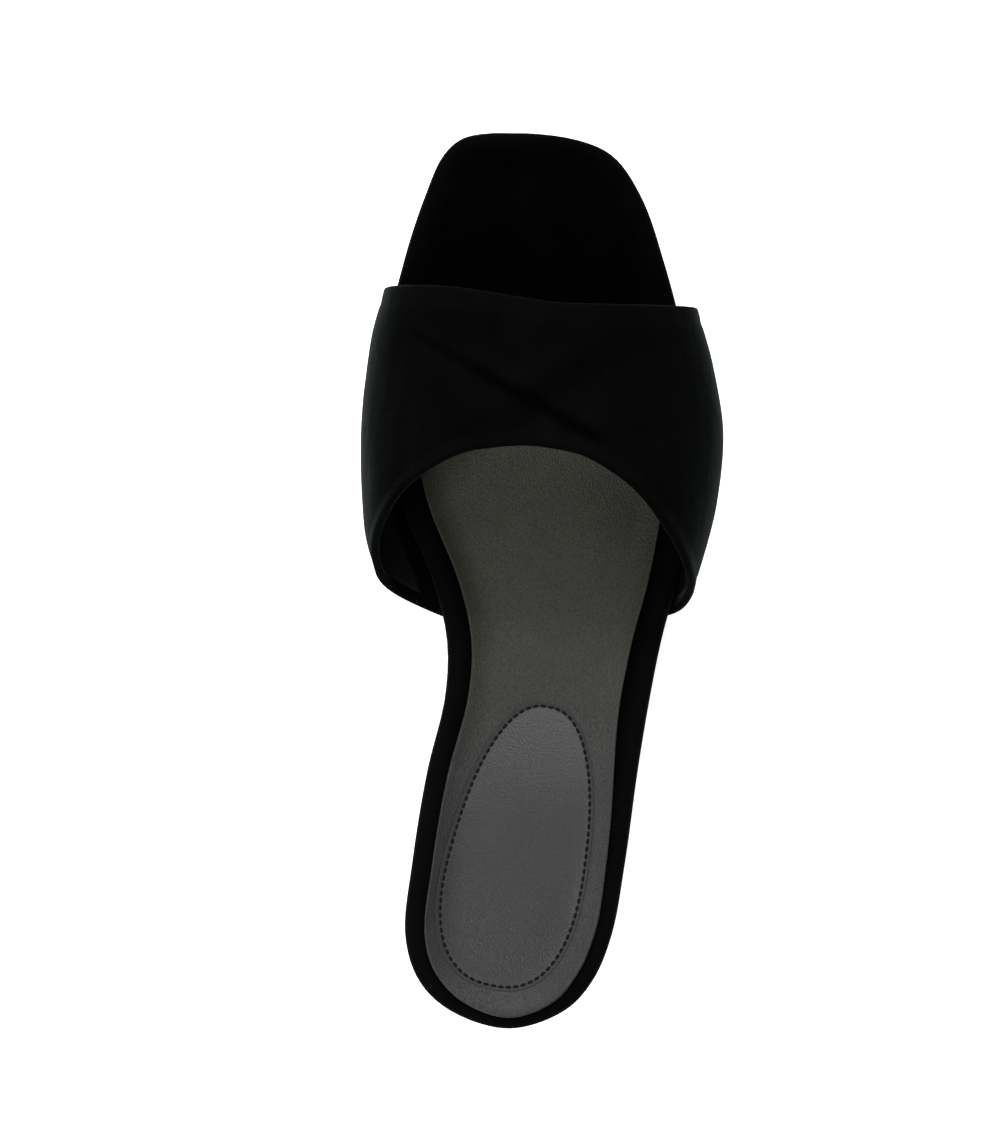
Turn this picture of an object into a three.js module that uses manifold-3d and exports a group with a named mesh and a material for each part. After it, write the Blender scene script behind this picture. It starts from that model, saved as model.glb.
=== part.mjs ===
// A right-foot platform slide: a velvet-covered platform on a thin rubber outsole, a cupped
// velvet footbed, a leather sock with a sewn oval heel pad, and one broad velvet strap.
// Millimetres. +Y points to the toe, +X to the outer (lateral) side of the foot, +Z up.
// The origin is on the floor, under the middle of the sandal's box.

import * as THREE from "three";
import { mergeVertices } from "three/addons/utils/BufferGeometryUtils.js";
import Module from "manifold-3d";

const wasm = await Module();
wasm.setup();

// Driving dimensions
const LENGTH = 252; // heel back to toe tip
const GAP = 0.3; // left between pieces that are glued together

const OUTSOLE_THICK = 3;
const OUTSOLE_SETBACK = 1; // the outsole's edge stands this far inside the platform's lower edge
const OUTSOLE_EDGE_ROUND = 0.8;

const PLATFORM_TOP_ROUND = 3.5;
const PLATFORM_TAPER = 2.5; // the platform's wall leans in this far on its way down
const PLATFORM_FOOT_ROUND = 1.5;

const FOOTBED_THICK = 7; // at the rim
const FOOTBED_LOWER_ROUND = 2.5;
const FOOTBED_UPPER_ROUND = 3;
const CUP_DEPTH = 2.5; // the footbed's middle below its rim
const CUP_STARTS = 4; // distance in from the edge where the cup begins to fall
const CUP_ENDS = 13; // and where its floor is reached

const SOCK_THICK = 1.2;
const SOCK_FRONT = 176; // the sock ends under the strap
const SOCK_FRONT_BOW = 10;
const PAD_THICK = 1;

const STRAP_THICK = 2.4;
const STRAP_EDGE_ROUND = 0.7; // how far the turned edge stands proud between the two faces
// Superellipse powers of the strap's shoulders: 2 is an ellipse, more is squarer
const STRAP_SHOULDER = { medial: 2.25, lateral: 1.95 };

// Ground contact: flat under heel and forefoot, a low arch between them, a sprung toe
const ARCH = { back: 78, front: 128, height: 2.5 };
const TOE_SPRING = { start: 190, height: 4.5 };
const HEEL_BEVEL = { end: 10, height: 1 };

// The sole's edges, a row for each section: mm from the heel, then X of each edge
const SOLE_SECTIONS = [
  { along: 5, medial: -25.4, lateral: 6.6 },
  { along: 13.4, medial: -34.2, lateral: 14.5 },
  { along: 26, medial: -38.1, lateral: 19.8 },
  { along: 47, medial: -36.1, lateral: 23.7 },
  { along: 72, medial: -32, lateral: 27.2 },
  { along: 93, medial: -27, lateral: 30.8 },
  { along: 109, medial: -26.5, lateral: 34.1 },
  { along: 126, medial: -30.6, lateral: 38.6 },
  { along: 148, medial: -39.5, lateral: 42.4 },
  { along: 171, medial: -44, lateral: 43.5 },
  { along: 194, medial: -43.5, lateral: 40.5 },
  { along: 216, medial: -38.7, lateral: 34.9 },
  { along: 234, medial: -32.8, lateral: 28.5 },
  { along: 245.5, medial: -27.6, lateral: 20.4 },
  { along: 250.3, medial: -22.3, lateral: 9.2 },
];
const HEEL_BACK_X = -8.9;
const TOE_TIP_X = -12.8;

// The footbed's rim height above the floor, and the width of velvet rim on each side of the sock
const BED_SECTIONS = [
  { along: 0, top: 41, medial: 3.4, lateral: 3.4 },
  { along: 12, top: 40.9, medial: 5.2, lateral: 4.8 },
  { along: 30, top: 40.6, medial: 5.6, lateral: 4.9 },
  { along: 60, top: 39.4, medial: 5.8, lateral: 5.8 },
  { along: 95, top: 34.6, medial: 6.6, lateral: 8.2 },
  { along: 130, top: 29.4, medial: 7.3, lateral: 8 },
  { along: 165, top: 27, medial: 7.5, lateral: 7.6 },
  { along: 200, top: 27, medial: 7.5, lateral: 7.5 },
  { along: LENGTH, top: 31, medial: 7.5, lateral: 7.5 },
];

// The strap's inner face, a row for each section of the foot: crown height over the rim, crown
// shift from the sole's middle, then for each side how far it stands out from the sole's edge and
// how high above the seam it stands out most
const STRAP_SECTIONS = [
  { along: 115, crown: 54, shift: -8, medialOut: 13.6, medialHigh: 19, lateralOut: 2.4, lateralHigh: 15 },
  { along: 132, crown: 52, shift: -8, medialOut: 12.2, medialHigh: 18, lateralOut: 3, lateralHigh: 15 },
  { along: 148, crown: 48, shift: -8, medialOut: 7.9, medialHigh: 17, lateralOut: 4.4, lateralHigh: 15 },
  { along: 165, crown: 43, shift: -7, medialOut: 4.5, medialHigh: 16, lateralOut: 5, lateralHigh: 15 },
  { along: 182, crown: 38, shift: -6, medialOut: 2.2, medialHigh: 15, lateralOut: 4, lateralHigh: 14 },
  { along: 208, crown: 33, shift: -5, medialOut: 0.6, medialHigh: 14, lateralOut: 2.6, lateralHigh: 13 },
];
// The strap's front and rear edges, by share of the way round from the medial to the lateral seam
const STRAP_EDGES = [
  { share: 0, front: 206.6, rear: 116.5 },
  { share: 0.1, front: 206.6, rear: 124.5 },
  { share: 0.2, front: 206.6, rear: 137 },
  { share: 0.3, front: 206.2, rear: 153.5 },
  { share: 0.4, front: 204.5, rear: 162 },
  { share: 0.48, front: 202.6, rear: 163.3 },
  { share: 0.56, front: 201.2, rear: 161.5 },
  { share: 0.65, front: 201, rear: 154 },
  { share: 0.75, front: 201, rear: 139.5 },
  { share: 0.85, front: 201, rear: 127.5 },
  { share: 1, front: 201, rear: 117 },
];
// The strap's ends come out of the seam between footbed and platform
const TUCK = { inset: 1, rise: 0.55, run: 2.4, lift: 0.9 };

// The egg-shaped heel pad, blunt end to the heel, turned to follow the heel's own axis
const PAD = {
  length: 81.7,
  width: 39.7,
  narrowing: 0.176,
  fullness: 0.83, // 1 is an ellipse, less is fuller at its four quarters
  middleX: -5.8,
  middleAlong: 51.2,
  turnDeg: -12,
};

// Mesh fineness
const SOLE_STATIONS = 36;
const OUTLINE_STEPS = 600;
const STRAP_RINGS = 52;
const STRAP_ROWS = 12;
const STRAP_CROWDING = 0.08; // draws the strap's rings closer together near the sole
const WALL_STEPS = 12;
const SHOULDER_STEPS = 20;
const PAD_STEPS = 48;

const VELVET = { color: 0x060807, roughness: 0.95, metalness: 0 };
const LEATHER = { color: 0x3a3a37, roughness: 0.55, metalness: 0 };
const PAD_LEATHER = { color: 0x464645, roughness: 0.5, metalness: 0 };
const RUBBER = { color: 0x121212, roughness: 0.7, metalness: 0 };

const lerp = THREE.MathUtils.lerp;
const smoothstep = THREE.MathUtils.smoothstep;

// A table's column at any place along its first column, on a smooth curve that doesn't overshoot its rows.
function column(table, name, at) {
  const key = Object.keys(table[0])[0];
  const last = table.length - 1;
  if (at <= table[0][key]) return table[0][name];
  if (at >= table[last][key]) return table[last][name];
  const i = table.findIndex((row) => row[key] > at) - 1;
  const slope = (k) => (table[k + 1][name] - table[k][name]) / (table[k + 1][key] - table[k][key]);
  const tangent = (k) => {
    if (k === 0) return slope(0);
    if (k === last) return slope(last - 1);
    const before = slope(k - 1);
    const after = slope(k);
    return before * after <= 0 ? 0 : (2 * before * after) / (before + after);
  };
  const span = table[i + 1][key] - table[i][key];
  const t = (at - table[i][key]) / span;
  const ease = t * t * (3 - 2 * t);
  const lead = t * (1 - t) * (1 - t) * tangent(i) * span;
  const trail = t * t * (t - 1) * tangent(i + 1) * span;
  return lerp(table[i][name], table[i + 1][name], ease) + lead + trail;
}

const rimTop = (along) => column(BED_SECTIONS, "top", along);
const seam = (along) => rimTop(along) - FOOTBED_THICK - GAP; // the platform's upper face

// The floor side of the outsole.
function ground(along) {
  if (along > TOE_SPRING.start) {
    return TOE_SPRING.height * ((along - TOE_SPRING.start) / (LENGTH - TOE_SPRING.start)) ** 2;
  }
  if (along > ARCH.back && along < ARCH.front) {
    return ARCH.height * Math.sin((Math.PI * (along - ARCH.back)) / (ARCH.front - ARCH.back)) ** 2;
  }
  if (along < HEEL_BEVEL.end) return HEEL_BEVEL.height * (1 - along / HEEL_BEVEL.end) ** 2;
  return 0;
}

// One smooth closed curve through the heel back, the lateral edge, the toe tip and the medial edge.
const outline = new THREE.CatmullRomCurve3(
  [
    new THREE.Vector3(HEEL_BACK_X, 0, 0),
    ...SOLE_SECTIONS.map((row) => new THREE.Vector3(row.lateral, row.along, 0)),
    new THREE.Vector3(TOE_TIP_X, LENGTH, 0),
    ...SOLE_SECTIONS.toReversed().map((row) => new THREE.Vector3(row.medial, row.along, 0)),
  ],
  true,
  "centripetal",
).getPoints(OUTLINE_STEPS);
const tip = outline.reduce((best, p, i) => (p.y > outline[best].y ? i : best), 0);
const EDGES = { lateral: outline.slice(0, tip + 1), medial: outline.slice(tip).toReversed() };

// X of the sole's edge on one side.
function edge(side, along) {
  const points = EDGES[side];
  const i = Math.max(1, points.findIndex((p) => p.y >= along));
  const [a, b] = [points[i - 1], points[i]];
  return lerp(a.x, b.x, THREE.MathUtils.clamp((along - a.y) / (b.y - a.y), 0, 1));
}

// The sole's outline as a ring of points: the heel back, the lateral side, the toe tip, the medial side.
// Each point knows which way the sole's middle lies, so that a ring can be set in by a distance.
const HEEL_CENTRE = 30;
const TOE_CENTRE = LENGTH - 26;
function outlineRing() {
  const stations = Array.from({ length: SOLE_STATIONS - 1 }, (_, k) => {
    return (LENGTH * (1 - Math.cos((Math.PI * (k + 1)) / SOLE_STATIONS))) / 2;
  });
  const at = (side, along, x = edge(side, along)) => {
    const spineAlong = THREE.MathUtils.clamp(along, HEEL_CENTRE, TOE_CENTRE);
    const spineX = (edge("medial", spineAlong) + edge("lateral", spineAlong)) / 2;
    const inward = new THREE.Vector2(spineX - x, spineAlong - along).normalize();
    return { side, x, along, inward };
  };
  return [
    at("lateral", 0, HEEL_BACK_X),
    ...stations.map((along) => at("lateral", along)),
    at("medial", LENGTH, TOE_TIP_X),
    ...stations.toReversed().map((along) => at("medial", along)),
  ];
}
const RING = outlineRing();

// The outline set in by a distance, at a height by distance and place. The distance is a number, or a
// function of the side and the place along the sole.
function soleRing(inset, height) {
  return RING.map(({ side, x, along, inward }) => {
    const distance = typeof inset === "function" ? inset(side, along) : inset;
    const place = along + inward.y * distance;
    return new THREE.Vector3(x + inward.x * distance, place, height(place, distance));
  });
}

// A closed solid through rings with equal numbers of points. Each end is closed across the ring,
// point by point from one side to the other. Rings run so that the surface faces out.
function loft(rings) {
  const size = rings[0].length;
  const index = [];
  const quad = (a, b, c, d) => index.push(a, b, c, a, c, d);
  for (let r = 0; r < rings.length - 1; r++) {
    for (let i = 0; i < size; i++) {
      const next = (i + 1) % size;
      quad(r * size + i, r * size + next, (r + 1) * size + next, (r + 1) * size + i);
    }
  }
  const close = (first, flip) => {
    for (let i = 0; i < size / 2; i++) {
      const [a, b, c, d] = [i, i + 1, size - i - 1, (size - i) % size].map((k) => first + k);
      const corners = flip ? [d, c, b, a] : [a, b, c, d];
      const triangles = [corners.slice(0, 3), [corners[0], corners[2], corners[3]]];
      triangles.filter((t) => new Set(t).size === 3).forEach((t) => index.push(...t));
    }
  };
  close(0, true);
  close((rings.length - 1) * size, false);
  const positions = rings.flat().flatMap((p) => [p.x, p.y, p.z]);
  return new THREE.BufferGeometry()
    .setAttribute("position", new THREE.Float32BufferAttribute(positions, 3))
    .setIndex(index);
}

// Two closed geometries' common volume.
function common(first, second) {
  const solid = (geometry) => {
    const bare = new THREE.BufferGeometry().setAttribute("position", geometry.getAttribute("position"));
    if (geometry.index) bare.setIndex(geometry.index);
    const merged = mergeVertices(bare, 1e-4);
    const vertProperties = merged.attributes.position.array;
    return new wasm.Manifold(
      new wasm.Mesh({ numProp: 3, vertProperties, triVerts: new Uint32Array(merged.index.array) }),
    );
  };
  const mesh = solid(first).intersect(solid(second)).getMesh();
  return new THREE.BufferGeometry()
    .setAttribute("position", new THREE.BufferAttribute(mesh.vertProperties, 3))
    .setIndex(new THREE.BufferAttribute(mesh.triVerts, 1));
}

// An upright prism over a closed shape in X and Y, tall enough to pass through the whole sole.
const PRISM_TALL = 100;
function prism(shape) {
  const options = { depth: PRISM_TALL, bevelEnabled: false, curveSegments: PAD_STEPS };
  return new THREE.ExtrudeGeometry(shape, options);
}

// The footbed's upper face, by distance in from the sole's edge.
function bed(distance, along) {
  const round = Math.max(0, FOOTBED_UPPER_ROUND - distance);
  const edgeDrop = FOOTBED_UPPER_ROUND - Math.sqrt(FOOTBED_UPPER_ROUND ** 2 - round ** 2);
  return rimTop(along) - edgeDrop - CUP_DEPTH * smoothstep(distance, CUP_STARTS, CUP_ENDS);
}

const SQRT_HALF = Math.SQRT1_2;

function outsole() {
  const lowerEdge = PLATFORM_TAPER + OUTSOLE_SETBACK;
  return loft([
    soleRing(lowerEdge + OUTSOLE_EDGE_ROUND, ground),
    soleRing(lowerEdge, (along) => ground(along) + OUTSOLE_EDGE_ROUND),
    soleRing(lowerEdge, (along) => ground(along) + OUTSOLE_THICK),
  ]);
}

function platform() {
  const foot = (along) => ground(along) + OUTSOLE_THICK + GAP;
  const roundInset = PLATFORM_TOP_ROUND * (1 - SQRT_HALF);
  return loft([
    soleRing(PLATFORM_TAPER + PLATFORM_FOOT_ROUND, foot),
    soleRing(PLATFORM_TAPER, (along) => foot(along) + PLATFORM_FOOT_ROUND),
    soleRing(0, (along) => seam(along) - PLATFORM_TOP_ROUND),
    soleRing(roundInset, (along) => seam(along) - roundInset),
    soleRing(PLATFORM_TOP_ROUND, seam),
  ]);
}

// Rings on the footbed's upper face: where the velvet rim ends, then down the cup to its floor.
const rimWidth = (side, along) => column(BED_SECTIONS, side, along);
const downCup = (share) => lerp(CUP_STARTS, CUP_ENDS, share);
const CUP_RINGS = [rimWidth, downCup(0.5), downCup(0.85), CUP_ENDS];
const bedRing = (inset, lift) => soleRing(inset, (along, distance) => bed(distance, along) + lift);

function footbed() {
  const under = (along) => rimTop(along) - FOOTBED_THICK;
  const lower = FOOTBED_LOWER_ROUND * (1 - SQRT_HALF);
  const upper = FOOTBED_UPPER_ROUND * (1 - SQRT_HALF);
  return loft([
    soleRing(FOOTBED_LOWER_ROUND, under),
    soleRing(lower, (along) => under(along) + lower),
    soleRing(0, (along) => under(along) + FOOTBED_LOWER_ROUND),
    ...[0, upper, FOOTBED_UPPER_ROUND, ...CUP_RINGS].map((inset) => bedRing(inset, 0)),
  ]);
}

// A sheet that lies on the footbed, from one height above it to another, out to the velvet rim.
function bedLayer(from, to) {
  return loft([
    ...CUP_RINGS.toReversed().map((inset) => bedRing(inset, from)),
    ...CUP_RINGS.map((inset) => bedRing(inset, to)),
  ]);
}

const SOCK_LIFT = GAP;
const PAD_LIFT = SOCK_LIFT + SOCK_THICK + GAP;

function sock() {
  const wide = LENGTH / 4;
  const behind = -LENGTH / 2;
  const corner = SOCK_FRONT - SOCK_FRONT_BOW;
  const kept = new THREE.Shape();
  kept.moveTo(-wide, behind);
  kept.lineTo(wide, behind);
  kept.lineTo(wide, corner);
  kept.quadraticCurveTo(0, SOCK_FRONT + SOCK_FRONT_BOW, -wide, corner);
  return common(bedLayer(SOCK_LIFT, SOCK_LIFT + SOCK_THICK), prism(kept));
}

// An egg: an ellipse whose width shrinks towards the toe end.
function eggShape({ length, width, narrowing, fullness, middleX, middleAlong, turnDeg }) {
  const turn = THREE.MathUtils.degToRad(turnDeg);
  const full = (value) => Math.sign(value) * Math.abs(value) ** fullness;
  const points = Array.from({ length: PAD_STEPS }, (_, k) => {
    const angle = (2 * Math.PI * k) / PAD_STEPS;
    const forward = full(Math.sin(angle));
    const across = (width / 2) * full(Math.cos(angle)) * (1 - narrowing * forward);
    return new THREE.Vector2(across, (length / 2) * forward)
      .rotateAround(new THREE.Vector2(), turn)
      .add(new THREE.Vector2(middleX, middleAlong));
  });
  return new THREE.Shape(points);
}

function heelPad() {
  return common(bedLayer(PAD_LIFT, PAD_LIFT + PAD_THICK), prism(eggShape(PAD)));
}

// One side of the strap's inner face at a section, from its tuck in the seam up to the crown.
function strapSide(side, along, crown) {
  const out = side === "lateral" ? 1 : -1;
  const foot = edge(side, along);
  const base = seam(along);
  const flare = column(STRAP_SECTIONS, `${side}Out`, along);
  const bulge = column(STRAP_SECTIONS, `${side}High`, along);
  const power = 2 / STRAP_SHOULDER[side];
  const wall = new THREE.CubicBezierCurve(
    new THREE.Vector2(-TUCK.inset, TUCK.rise),
    new THREE.Vector2(TUCK.run - TUCK.inset, TUCK.rise + TUCK.lift),
    new THREE.Vector2(flare, bulge / 2),
    new THREE.Vector2(flare, bulge),
  ).getPoints(WALL_STEPS);
  const widest = new THREE.Vector2(foot + out * flare, base + bulge);
  const shoulder = Array.from({ length: SHOULDER_STEPS }, (_, k) => {
    const angle = (Math.PI * (k + 1)) / (2 * SHOULDER_STEPS);
    const inShare = Math.abs(Math.cos(angle)) ** power;
    const upShare = Math.sin(angle) ** power;
    return new THREE.Vector2(lerp(crown.x, widest.x, inShare), lerp(widest.y, crown.y, upShare));
  });
  return [...wall.map((p) => new THREE.Vector2(foot + out * p.x, base + p.y)), ...shoulder];
}

// A point of the strap's inner face: a share of the way round a section, from medial to lateral.
function strapPoint(share, along) {
  const middle = (edge("medial", along) + edge("lateral", along)) / 2;
  const crown = new THREE.Vector2(
    middle + column(STRAP_SECTIONS, "shift", along),
    rimTop(along) + column(STRAP_SECTIONS, "crown", along),
  );
  const medial = strapSide("medial", along, crown);
  const lateral = strapSide("lateral", along, crown).toReversed().slice(1);
  const path = [...medial, ...lateral];
  const lengths = path.slice(1).map((p, i) => p.distanceTo(path[i]));
  let left = share * lengths.reduce((sum, d) => sum + d, 0);
  let i = 0;
  while (i < lengths.length - 1 && left > lengths[i]) left -= lengths[i++];
  const p = path[i].clone().lerp(path[i + 1], THREE.MathUtils.clamp(left / lengths[i], 0, 1));
  return new THREE.Vector3(p.x, along, p.y);
}

function strap() {
  const STEP = 1e-3;
  const face = (share, row) => {
    const front = column(STRAP_EDGES, "front", share);
    const rear = column(STRAP_EDGES, "rear", share);
    return strapPoint(share, lerp(front, rear, row));
  };
  const outward = (share, row) => {
    const [u0, u1] = [Math.max(0, share - STEP), Math.min(1, share + STEP)];
    const [v0, v1] = [Math.max(0, row - STEP), Math.min(1, row + STEP)];
    const round = face(u1, row).sub(face(u0, row));
    const back = face(share, v1).sub(face(share, v0));
    return back.cross(round).normalize();
  };
  const rows = Array.from({ length: STRAP_ROWS + 1 }, (_, k) => k / STRAP_ROWS);
  const ring = (share) => {
    const inner = rows.map((row) => face(share, row));
    const normals = rows.map((row) => outward(share, row));
    const outer = inner.map((p, i) => p.clone().addScaledVector(normals[i], STRAP_THICK));
    const turnedEdge = (i, neighbour) => {
      const away = inner[i].clone().sub(inner[neighbour]).normalize();
      return inner[i].clone().lerp(outer[i], 0.5).addScaledVector(away, STRAP_EDGE_ROUND);
    };
    const front = turnedEdge(0, 1);
    const rear = turnedEdge(STRAP_ROWS, STRAP_ROWS - 1);
    return [front, ...outer, rear, ...inner.toReversed()];
  };
  const rings = Array.from({ length: STRAP_RINGS + 1 }, (_, k) => {
    const t = k / STRAP_RINGS;
    return ring(t - STRAP_CROWDING * Math.sin(2 * Math.PI * t));
  });
  return loft(rings);
}

function piece(name, geometry, finish) {
  const mesh = new THREE.Mesh(geometry, new THREE.MeshStandardMaterial(finish));
  mesh.name = name;
  return mesh;
}

const sandal = new THREE.Group();
sandal.add(
  piece("outsole", outsole(), RUBBER),
  piece("platform", platform(), VELVET),
  piece("footbed", footbed(), VELVET),
  piece("sock", sock(), LEATHER),
  piece("heel_pad", heelPad(), PAD_LEATHER),
  piece("upper_strap", strap(), VELVET),
);

// The sections are measured from the heel; the part's origin is under the middle of its box.
const middle = new THREE.Box3().setFromObject(sandal).getCenter(new THREE.Vector3());
sandal.position.set(-middle.x, -middle.y, 0);

const part = new THREE.Group();
part.add(sandal);

export default part;
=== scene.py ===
"""A right-foot platform slide in black velvet, with a grained leather sock and a sewn heel pad.

The tables give the shoe's own sizes in millimetres, measured along the sole from the heel back. Finished
meshes are in metres in the part's frame: +Y to the toe, +X to the outer side of the foot, +Z up.
"""

import logging
import math
from bisect import bisect_right
from collections.abc import Callable, Sequence
from dataclasses import dataclass, field
from enum import Enum
from itertools import accumulate

import bmesh
import bpy
from mathutils import Matrix, Vector
from mathutils.bvhtree import BVHTree
from mathutils.kdtree import KDTree


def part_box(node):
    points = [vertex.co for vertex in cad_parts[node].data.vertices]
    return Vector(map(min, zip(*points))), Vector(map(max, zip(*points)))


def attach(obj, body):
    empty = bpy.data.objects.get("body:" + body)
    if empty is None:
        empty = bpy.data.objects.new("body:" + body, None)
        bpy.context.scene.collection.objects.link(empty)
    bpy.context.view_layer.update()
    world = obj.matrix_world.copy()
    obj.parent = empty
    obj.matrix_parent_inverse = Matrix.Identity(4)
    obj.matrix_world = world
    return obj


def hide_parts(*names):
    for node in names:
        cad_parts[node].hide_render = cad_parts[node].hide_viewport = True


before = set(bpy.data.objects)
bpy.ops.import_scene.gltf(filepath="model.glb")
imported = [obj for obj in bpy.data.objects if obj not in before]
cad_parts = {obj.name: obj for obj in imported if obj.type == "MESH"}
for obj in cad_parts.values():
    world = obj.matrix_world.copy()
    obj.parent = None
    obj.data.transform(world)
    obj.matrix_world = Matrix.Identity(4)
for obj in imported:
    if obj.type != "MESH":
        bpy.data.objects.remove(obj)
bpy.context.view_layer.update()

LOG = logging.getLogger("sandal")
MM = 0.001
BODY = "root"
WHITE = (1.0, 1.0, 1.0)
MIDWAY = 0.5
Triple = tuple[float, float, float]
Range = tuple[float, float]
Piece = bpy.types.Object
Socket = bpy.types.NodeSocket
Inputs = dict[str | int, object]


class Side(Enum):
    """The two sides of a right foot: the arch side and the outer side."""

    MEDIAL = "medial"
    LATERAL = "lateral"

    @property
    def outward(self) -> int:
        """The sign of X that points away from the sole's middle on this side."""
        return 1 if self is Side.LATERAL else -1


class Slot(Enum):
    """The record's material slots."""

    VELVET = "velvet"
    SOCK = "sock_leather"
    PAD = "pad_leather"
    RUBBER = "outsole_rubber"


def blend(start: float, end: float, share: float) -> float:
    """Mixes two numbers by share."""
    return start + (end - start) * share


def ease_between(value: float, low: float, high: float) -> float:
    """Rises smoothly from 0 at low to 1 at high."""
    t = min(1.0, max(0.0, (value - low) / (high - low)))
    return t * t * (3 - 2 * t)


def reaches(points: Sequence[Vector]) -> list[float]:
    """Gives how far along a line each of its points is."""
    return list(accumulate(((b - a).length for a, b in zip(points, points[1:])), initial=0.0))


def locate(reach: Sequence[float], target: float) -> tuple[int, float]:
    """Finds the point that comes before a distance along a line, and the share of the way to the next."""
    i = min(max(bisect_right(reach, target), 1), len(reach) - 1) - 1
    return i, (target - reach[i]) / (reach[i + 1] - reach[i])


class Table:
    """Sizes of the shoe at a row of places, with a named column for each size."""

    def __init__(self, names: str, *rows: tuple[float, ...]) -> None:
        """Takes the columns' names, and rows that each start with their place."""
        self.places, *columns = zip(*rows)
        self.columns = dict(zip(names.split(), columns))

    def read(self, name: str, at: float) -> float:
        """Reads a column on a smooth curve that doesn't overshoot its rows.

        Args:
            name: The column to read.
            at: Where to read it, in the places' units.

        Returns:
            The column's value there, held at the end rows' values beyond them.
        """
        places = self.places
        values = self.columns[name]
        last = len(places) - 1
        if at <= places[0]:
            return values[0]
        if at >= places[last]:
            return values[last]
        slopes = [(values[k + 1] - values[k]) / (places[k + 1] - places[k]) for k in range(last)]
        slopes = [slopes[0], *slopes, slopes[-1]]
        i = bisect_right(places, at) - 1
        pairs = zip(slopes[i : i + 2], slopes[i + 1 : i + 3])
        leave, arrive = (2 * a * b / (a + b) if a * b > 0 else 0.0 for a, b in pairs)
        span = places[i + 1] - places[i]
        t = (at - places[i]) / span
        lead = t * (1 - t) ** 2 * leave * span
        trail = t * t * (t - 1) * arrive * span
        return blend(values[i], values[i + 1], t * t * (3 - 2 * t)) + lead + trail


# Distance from the heel back, and X of the sole's medial and lateral edges
SOLE_SECTIONS = (
    (5, -25.4, 6.6), (13.4, -34.2, 14.5), (26, -38.1, 19.8), (47, -36.1, 23.7), (72, -32, 27.2),
    (93, -27, 30.8), (109, -26.5, 34.1), (126, -30.6, 38.6), (148, -39.5, 42.4), (171, -44, 43.5),
    (194, -43.5, 40.5), (216, -38.7, 34.9), (234, -32.8, 28.5), (245.5, -27.6, 20.4), (250.3, -22.3, 9.2),
)
# Distance from the heel back, the footbed rim's height, and the bare rim's width beside the sock
BED = Table(
    "top medial lateral",
    (0, 41, 3.4, 3.4), (12, 40.9, 5.2, 4.8), (30, 40.6, 5.6, 4.9), (60, 39.4, 5.8, 5.8),
    (95, 34.6, 6.6, 8.2), (130, 29.4, 7.3, 8), (165, 27, 7.5, 7.6), (200, 27, 7.5, 7.5), (252, 31, 7.5, 7.5),
)
# Distance from the heel back, then the strap's inner face: its crown's height over the rim and step from
# the sole's middle, and for each side how far it stands out from the sole's edge, and how high that is
STRAP = Table(
    "crown shift medial_out medial_high lateral_out lateral_high",
    (115, 54, -8, 13.6, 19, 2.4, 15), (132, 52, -8, 12.2, 18, 3, 15), (148, 48, -8, 7.9, 17, 4.4, 15),
    (165, 43, -7, 4.5, 16, 5, 15), (182, 38, -6, 2.2, 15, 4, 14), (208, 33, -5, 0.6, 14, 2.6, 13),
)
# Share of the way round from the medial seam, and where the strap's two edges lie along the foot
STRAP_EDGES = Table(
    "front rear",
    (0, 206.6, 116.5), (0.1, 206.6, 124.5), (0.2, 206.6, 137), (0.3, 206.2, 153.5), (0.4, 204.5, 162),
    (0.48, 202.6, 163.3), (0.56, 201.2, 161.5), (0.65, 201, 154), (0.75, 201, 139.5),
    (0.85, 201, 127.5), (1, 201, 117),
)


@dataclass(frozen=True)
class Crease:
    """A soft trough in the strap's velvet between two low ridges, in millimetres."""

    start_x: float
    start_along: float
    end_x: float
    end_along: float
    depth: float
    width: float
    fade_widths: float = 2.0

    def depth_at(self, x: float, along: float) -> float:
        """Gives how far the trough lowers the velvet at a place.

        Args:
            x: X of the place, in the tables' millimetres.
            along: The place's distance from the heel back, in millimetres.

        Returns:
            The drop in millimetres, below zero on the ridges, which fades out past both ends.
        """
        start = Vector((self.start_x, self.start_along))
        run = Vector((self.end_x, self.end_along)) - start
        here = Vector((x, along)) - start
        share = here.dot(run) / run.length_squared
        aside = (here - run * share).length
        past_end = max(0.0, -share, share - 1.0) * run.length
        fade = math.exp(-((past_end / (self.fade_widths * self.width)) ** 2))
        reach = (aside / self.width) ** 2
        return self.depth * fade * (1 - reach) * math.exp(-reach / 2)


STRAP_CREASES = (
    Crease(-33.3, 192.7, 13.2, 165.7, depth=0.35, width=1.3),
    Crease(-15, 182, 12, 166.4, depth=0.35, width=3.0),
    Crease(-2, 175, 16, 186, depth=0.3, width=4.6),
    Crease(-35.5, 194, -39.5, 173, depth=0.2, width=1.8),
    Crease(-42.5, 177, -40, 154, depth=0.3, width=2.4),
)


def closed_spline(points: Sequence[Vector], steps: int) -> list[Vector]:
    """Runs a centripetal Catmull-Rom curve through points and back to the first.

    Args:
        points: The points of a closed outline, in order.
        steps: How many places along the whole curve to give.

    Returns:
        steps + 1 places, the last of them on the first point.
    """
    count = len(points)
    curve = []
    for step in range(steps + 1):
        reach = step / steps * count
        k = int(reach)
        t = reach - k
        before, start, end, after = (points[(k + j) % count] for j in (-1, 0, 1, 2))
        chords = (start - before, end - start, after - end)
        d0, d1, d2 = (math.sqrt(chord.length) for chord in chords)
        leave = ((start - before) / d0 - (end - before) / (d0 + d1) + (end - start) / d1) * d1
        arrive = ((end - start) / d1 - (after - start) / (d1 + d2) + (after - end) / d2) * d1
        square = (end - start) * 3 - leave * 2 - arrive
        cube = (start - end) * 2 + leave + arrive
        curve.append(start + leave * t + square * t * t + cube * t**3)
    return curve


@dataclass(frozen=True)
class RimPoint:
    """A point of the sole's outline, with the way and distance in to the sole's middle."""

    side: Side
    x: float
    along: float
    inward: Vector
    reach: float


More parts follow.
